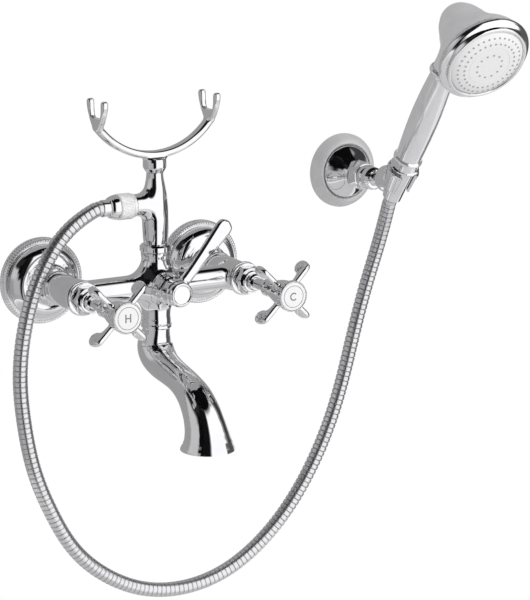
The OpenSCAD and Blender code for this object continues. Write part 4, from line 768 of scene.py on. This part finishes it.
def mark_mesh(name, letter, matrix):
    """Thin ring and one plain letter, a little proud of the disc."""
    points, faces = [], []

    def block(loop):
        base = len(points)
        n = len(loop)
        points.extend([(x, y, 1.6) for x, y in loop] + [(x, y, 1.86) for x, y in loop])
        faces.append([base + n + i for i in range(n)])
        faces.append([base + i for i in range(n)][::-1])
        faces.extend([(base + i, base + (i + 1) % n, base + n + (i + 1) % n, base + n + i) for i in range(n)])

    def arc(inner, outer, start, end, steps):
        a = np.radians(np.linspace(start, end, steps + 1))
        for i in range(steps):
            block([(outer * math.cos(a[i]), outer * math.sin(a[i])),
                   (outer * math.cos(a[i + 1]), outer * math.sin(a[i + 1])),
                   (inner * math.cos(a[i + 1]), inner * math.sin(a[i + 1])),
                   (inner * math.cos(a[i]), inner * math.sin(a[i]))])

    arc(8.7, 9.1, 0, 360, 72)
    if letter == "H":
        for x0, x1, y0, y1 in ((-2.6, -1.5, -3.4, 3.4), (1.5, 2.6, -3.4, 3.4), (-1.5, 1.5, -0.5, 0.5)):
            block([(x0, y0), (x1, y0), (x1, y1), (x0, y1)])
    else:
        arc(2.3, 3.4, 42, 318, 28)
    return add_mesh(name, moved(points, matrix), faces, INK, sharp=30)


for side, x, tap, letter in (("left", -VALVE_X, "hot_tap", "H"), ("right", VALVE_X, "cold_tap", "C")):
    piece = cast(f"cross_grip_{side}", cross_form(x), (x - 34, -164, -34), (x + 34, -117, 34), 0.85, CHROME)
    dress(piece, tap, "chrome", f"cross_handle_{side}")
    piece = turn(f"index_face_{side}", DISC, outward(x, 0, INDEX_OUT), ENAMEL, closed=False)
    dress(piece, tap, "enamel", f"index_disc_{side}")
    piece = mark_mesh(f"index_mark_{side}", letter, outward(x, 0, INDEX_OUT))
    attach(piece, tap)

# Diverter lever and its cap

LEVER_OUTLINE = catmull([
    (-4.6, -2), (4.6, -2), (4.5, 12), (4.7, 24), (5.3, 36), (6.3, 50), (7.2, 61), (7.4, 66.4), (5.8, 71.2),
    (0, 73.6), (-5.8, 71.2), (-7.4, 66.4), (-7.2, 61), (-6.3, 50), (-5.3, 36), (-4.7, 24), (-4.5, 12)],
    4, closed=True)
LEVER_HUB = [(0, 0), (9.8, 0), (10.8, 1), (10.8, 8.6), (9.8, 10), (0, 10)]
lever_frame = outward(0, 0, LEVER_OUT) @ Matrix.Rotation(math.radians(-LEVER_TURN), 4, "Z")
paddle = in_frame(plate_form(LEVER_OUTLINE, 3.5, 3.2), lever_frame @ Matrix.Translation((0, 0, 5)))
lever = joined(3.0, in_frame(turned_form(LEVER_HUB), lever_frame), paddle)
piece = cast("diverter_paddle", lever, (-14, -108, -14), (62, -94, 62), 0.85, CHROME)
dress(piece, "diverter", "chrome", "diverter_lever")
CAP = np.concatenate([[(0, 0), (10.0, 0), (10.6, 0.6)],
                      catmull([(10.7, 2.2), (10.5, 3.8), (9.9, 5.0), (9.1, 5.7), (8.3, 5.9)], 4),
                      catmull([(7.8, 5.6), (7.3, 5.2), (6.3, 5.1), (3.4, 5.3), (0.05, 5.4)], 4)])
piece = turn("diverter_cap", CAP, outward(0, 0, LEVER_END), CHROME, closed=False)
dress(piece, "diverter", "chrome", "lever_cap")

# Outlet nut with a straight knurl

TEETH, TOOTH_DEPTH = 56, 0.32
KNURL_FROM, KNURL_TO = 3.2, 14.2


def knurl(angle, r, z):
    """Teeth along the nut's band, fading out at both ends."""
    band = np.clip((z - KNURL_FROM) / 0.6, 0, 1) * np.clip((KNURL_TO - z) / 0.6, 0, 1) * (r > 10.2)
    return -TOOTH_DEPTH * band * np.abs(((angle * TEETH / math.pi) % 2) - 1)


NUT = [
    (8.15, 0), (9.5, 0), (9.8, 0.3), (9.9, 2.3), (10.5, 2.7), (10.8, 3.2), (10.8, 3.9), (10.8, 13.4),
    (10.8, 14.1), (10.4, 14.9), (9.8, 15.2), (6.8, 15.2), (6.8, 11.4), (8.15, 11.4),
]
piece = turn("outlet_nut", NUT, leftward(OUTLET_Z, 20.6), PALE, 4 * TEETH, swell=knurl)
dress(piece, "fixed", "chrome", "hose_nut")

# Bracket: ring, cone with wrench flats, ball holder with its cup

ROSE = [(33, 2.2), (32.3, 3.9), (30.6, 6.3), (28.6, 8.6), (26.6, 10.1), (25.3, 10.4), (24.5, 9.9)]
rose_loop = np.concatenate([[(14.4, 0), (32.6, 0), (33, 0.4)], catmull(ROSE, 5),
                            [(24.5, 8.0), (5.4, 8.0), (5.4, 6.6), (14.4, 6.6)]])
piece = turn("bracket_rose", rose_loop, outward(*BRACKET, 0), PLATE_METAL, 144)
dress(piece, "fixed", "chrome", "bracket_flange")

SOCKET_FLATS = 23.0
SOCKET = np.concatenate([
    [(5.45, 8.05), (23.7, 8.05)],
    catmull([(23.7, 9.2), (22.4, 11.6), (19.4, 15.0), (15.7, 18.8), (12.8, 22.2), (11.1, 24.8), (10.4, 26.6)], 4),
    [(10.7, 28.0), (12.4, 28.0), (13.28, 29.0), (13.28, 31.0)],
    [(13.28 - 0.232 * k, 31.0 + k) for k in range(1, 9)],
    [(11.2, 40.0), (10.6, 40.2)], catmull([(10.7, 41.2), (10.9, 43.0), (10.6, 45.4), (9.8, 46.9)], 3),
    [(5.45, 46.9)]])
piece = turn("bracket_cone", SOCKET, outward(*BRACKET, 0), CHROME, 96,
             swell=hexagon(SOCKET_FLATS, 27.9, 40.1, math.pi / 6))
dress(piece, "fixed", "chrome", "bracket_socket")

STEM_OUT, STEM_UP = 40.0, 6.0
STEM_LEN = math.hypot(STEM_OUT, STEM_UP)
STEM_FRAME = outward(*BRACKET, BALL_OUT) @ Matrix.Rotation(-math.atan2(STEM_UP, STEM_OUT), 4, "X")
STEM = np.concatenate([
    [(0, 1), (3.8, 1)], catmull([(3.8, 9), (6.3, 12.1), (9.7, 15.9), (11.7, 20.1), (12.2, 25)], 3),
    [(12.2, STEM_LEN - 6), (0, STEM_LEN - 6)]])
CUP_FORM = [(0, -9), (11.1, -9), (11.9, -8.2), (13.5, 8.6), (14.2, 9.4), (14.2, 11.3), (13.5, 12), (0, 12)]
BORE = [(0, -25), (9.03, -25), (9.03, -9.6), (10.9, 14), (0, 14)]
solid = joined(
    3.0, joined(0.3, in_frame(ball_form((0, 0, 0), (6.5, 6.5, 6.5)), outward(*BRACKET, BALL_OUT)),
                in_frame(turned_form(STEM), STEM_FRAME)),
    in_frame(turned_form(CUP_FORM), HANDSET))
slot_box = plate_form([(-6.8, -40), (6.8, -40), (6.8, 0), (-6.8, 0)], 30, 0.5)
holder = cut_from(0.8, solid, in_frame(turned_form(BORE), HANDSET), in_frame(slot_box, HANDSET))
piece = cast("holder_cup", holder, (204, -112, 50), (240, -44, 96), 0.8, SATIN)
dress(piece, "holder", "chrome", "handset_holder")

# Handset: grip, bell, bezel and spray face

GRIP = np.concatenate([
    [(0, 10.5), (7, 10.5), (7, 22), (11.6, 22)],
    catmull([(12.2, 22.2), (12.8, 23.2), (12.7, 24.6), (11.9, 25.6)], 4),
    catmull([(11.3, 26.4), (11.5, 32), (11.95, 40), (12.5, 54), (12.8, 70), (12.5, 84), (11.7, 99), (10.7, 112),
             (10.6, 114.4)], 6),
    catmull([(11.2, 115.8), (12.3, 116.9), (12.8, 118.3), (12.4, 119.7), (11.4, 121)], 4),
    [(7, 121), (7, 135), (0, 135)]])
piece = turn("handset_grip", GRIP, HANDSET, GRIP_METAL, 96, closed=False)
dress(piece, "handset", "chrome", "handset_handle")

BELL = np.concatenate([
    [(0, -64.5)],
    catmull([(3, -64.5), (6.6, -64.1), (10.8, -62.9), (13.4, -60.6), (16.0, -56.6), (18.1, -52.9), (19.7, -48.6),
             (21.1, -44.4), (22.6, -39), (24.8, -34), (27.4, -29), (30.5, -24), (33.9, -19.2), (36.3, -14.4),
             (37.8, -10)], 4),
    [(38.3, -8), (0, -8)]])
NECK_UP = np.concatenate([
    [(0, 121.1), (10.4, 121.1)], catmull([(10.9, 122.2), (10.6, 126), (10.4, 131), (10.8, 139), (12.0, 149)], 3),
    [(0, 149)]])
head = joined(9.0, in_frame(turned_form(BELL), FACE), in_frame(turned_form(NECK_UP), HANDSET))
corners = moved([(x, y, z) for x in (-40, 40) for y in (-40, 40) for z in (-66, -7)], FACE)
corners = np.concatenate([corners, moved([(x, y, 119) for x in (-14, 14) for y in (-14, 14)], HANDSET)])
piece = cast("handset_bell", head, corners.min(0) - 2, corners.max(0) + 2, 1.25, MATT)
dress(piece, "handset", "chrome", "handset_head")

BEZEL = np.concatenate([
    [(28.5, -8), (37.9, -8)],
    catmull([(38.4, -7.7), (39.2, -6.5), (39.5, -5), (39.1, -3.5), (38.2, -2.4), (37.0, -1.7), (36.0, -1.2)], 4),
    catmull([(35.4, -0.9), (35.1, -0.4), (34.8, 0.6), (34.5, 1.5), (34.0, 2.05), (33.2, 2.3), (32.3, 2.2),
             (31.75, 1.6)], 4),
    [(31.65, 1.0), (31.65, -5.2), (28.5, -5.2)]])
piece = turn("spray_bezel", BEZEL, FACE, SATIN, 144)
dress(piece, "handset", "chrome", "bezel_ring")


FACE_EDGE, FACE_RISE, FACE_FALL = 31.5, 5.5, 4.5
GROOVE_IN, GROOVE_OUT, GROOVE_DEEP = 17.6, 18.0, 0.4


def face_height(r):
    """Low dome of the spray face with one groove in it."""
    groove = GROOVE_DEEP if GROOVE_IN < r < GROOVE_OUT else 0.0
    return FACE_RISE - FACE_FALL * (r / FACE_EDGE) ** 6 - groove


FACE_R = np.concatenate([
    np.linspace(FACE_EDGE, 18.2, 22), [18.05, 17.85, 17.75, 17.55], np.linspace(17.4, 0.05, 12)])
face_line = [(r, face_height(r)) for r in FACE_R]
piece = turn("spray_dome", [(0.05, -5.15), (FACE_EDGE, -5.15)] + face_line, FACE, PLASTIC, 144, closed=False, sharp=40)
dress(piece, "handset", "white_plastic", "spray_face")

# CAD nodes that stay: smooth shading across their own facets

for node in nodes.values():
    if not node.hide_render:
        node.data.shade_smooth()
        node.data.set_sharp_from_angle(angle=math.radians(28))

# Studio: pale floor, white background, soft panels with dark gaps between them

FLOOR_Z, FLOOR_R, FLOOR_SIDES = -1.25, 1.5, 96
FADE_FROM, FADE_TO = 1.6, 1.95
floor_mesh = bpy.data.meshes.new("floor")
ring = [(FLOOR_R * math.cos(a), FLOOR_R * math.sin(a), FLOOR_Z)
        for a in np.linspace(0, 2 * math.pi, FLOOR_SIDES, endpoint=False)]
floor_mesh.from_pydata(ring, [], [list(range(FLOOR_SIDES))])
floor = bpy.data.objects.new("floor", floor_mesh)
scene.collection.objects.link(floor)
floor_look, tree, shader = blank("pale_floor")
shader.inputs["Base Color"].default_value = (0.72, 0.72, 0.72, 1)
shader.inputs["Roughness"].default_value = 0.8
where = tree.nodes.new("ShaderNodeTexCoord")
far = tree.nodes.new("ShaderNodeVectorMath")
far.operation = "LENGTH"
tree.links.new(where.outputs["Object"], far.inputs[0])
fade = tree.nodes.new("ShaderNodeMapRange")
fade.interpolation_type = "SMOOTHSTEP"
fade.inputs["From Min"].default_value = FADE_FROM
fade.inputs["From Max"].default_value = FADE_TO
tree.links.new(far.outputs["Value"], fade.inputs["Value"])
white = tree.nodes.new("ShaderNodeEmission")
white.inputs["Strength"].default_value = 1.0
mix = tree.nodes.new("ShaderNodeMixShader")
tree.links.new(fade.outputs["Result"], mix.inputs["Fac"])
tree.links.new(shader.outputs["BSDF"], mix.inputs[1])
tree.links.new(white.outputs["Emission"], mix.inputs[2])
tree.links.new(mix.outputs["Shader"], tree.nodes["Material Output"].inputs["Surface"])
floor_mesh.materials.append(floor_look)
floor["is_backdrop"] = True

# Panels as (azimuth from, to, elevation from, to, soft edge, brightness), laid over each other in turn.
# Azimuth is 0 straight out from the wall, 90 to the right; elevation is above the horizon.
STUDIO_BASE = 0.37
PANELS = [
    (-180, 180, -90, -34, 8, 0.45),
    (-92, -46, -32, 4, 6, 0.50),
    (-122, -72, 4, 30, 6, 0.62),
    (-122, -44, 30, 60, 5, 0.02),
    (-60, -16, 3, 58, 4, 0.006),
    (-40, -15, -46, 6, 4, 0.003),
    (-74, -50, 18, 40, 4, 0.003),
    (58, 112, -27, 10, 5, 0.10),
    (84, 116, 5, 62, 5, 0.05),
    (88, 128, -44, -24, 4, 0.03),
    (-12, 95, -58, -30, 6, 0.80),
    (-12, 59, -31, 51, 3, 1.2),
    (50, 74, 14, 46, 3, 1.2),
    (112, 160, -24, -3, 4, 1.0),
    (-108, 108, 56, 90, 3, 0.003),
]
world = bpy.data.worlds.new("studio")
scene.world = world
world.use_nodes = True
tree = world.node_tree
background = tree.nodes["Background"]
background.inputs["Color"].default_value = (1, 1, 1, 1)


def math_node(operation, *values):
    node = tree.nodes.new("ShaderNodeMath")
    node.operation = operation
    for i, value in enumerate(values):
        if isinstance(value, (int, float)):
            node.inputs[i].default_value = value
        else:
            tree.links.new(value, node.inputs[i])
    return node.outputs["Value"]


def step_up(value, edge, soft):
    node = tree.nodes.new("ShaderNodeMapRange")
    node.interpolation_type = "SMOOTHSTEP"
    node.inputs["From Min"].default_value = edge - soft
    node.inputs["From Max"].default_value = edge + soft
    tree.links.new(value, node.inputs["Value"])
    return node.outputs["Result"]


direction = tree.nodes.new("ShaderNodeSeparateXYZ")
tree.links.new(tree.nodes.new("ShaderNodeTexCoord").outputs["Generated"], direction.inputs["Vector"])
out_x, out_y, out_z = (direction.outputs[k] for k in "XYZ")
azimuth = math_node("DEGREES", math_node("ARCTAN2", out_x, math_node("MULTIPLY", out_y, -1.0)))
elevation = math_node("DEGREES", math_node("ARCSINE", out_z))
level = math_node("ADD", STUDIO_BASE, 0.0)
for az0, az1, el0, el1, soft, bright in PANELS:
    masks = []
    for value, low, high in ((azimuth, az0, az1), (elevation, el0, el1)):
        if low > -180 and not (value is elevation and low <= -90):
            masks.append(step_up(value, low, soft))
        if high < 180 and not (value is elevation and high >= 90):
            masks.append(math_node("SUBTRACT", 1.0, step_up(value, high, soft)))
    mask = masks[0]
    for more in masks[1:]:
        mask = math_node("MULTIPLY", mask, more)
    level = math_node("ADD", level, math_node("MULTIPLY", mask, math_node("SUBTRACT", bright, level)))
path = tree.nodes.new("ShaderNodeLightPath")
seen = math_node("MAXIMUM", path.outputs["Is Camera Ray"], path.outputs["Is Transmission Ray"])
AMBIENT = 0.72
mirrored = math_node("MULTIPLY", path.outputs["Is Glossy Ray"], math_node("SUBTRACT", level, AMBIENT))
lit = math_node("ADD", AMBIENT, mirrored)
strength = math_node("ADD", lit, math_node("MULTIPLY", seen, math_node("SUBTRACT", 1.0, lit)))
tree.links.new(strength, background.inputs["Strength"])


def panel_lamp(name, place, target, size, power):
    data = bpy.data.lights.new(name, "AREA")
    data.shape = "DISK"
    data.size = size
    data.energy = power
    lamp = bpy.data.objects.new(name, data)
    scene.collection.objects.link(lamp)
    lamp.location = place
    lamp.rotation_mode = "QUATERNION"
    lamp.rotation_quaternion = (Vector(target) - Vector(place)).to_track_quat("-Z", "Y")
    lamp.visible_glossy = False
    return lamp


panel_lamp("key", (0.9, -2.2, 1.3), (0.1, -0.1, 0.0), 1.4, 26)

low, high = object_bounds()
{"cad": [list(cad_low), list(cad_high)], "visual": [list(low), list(high)]}
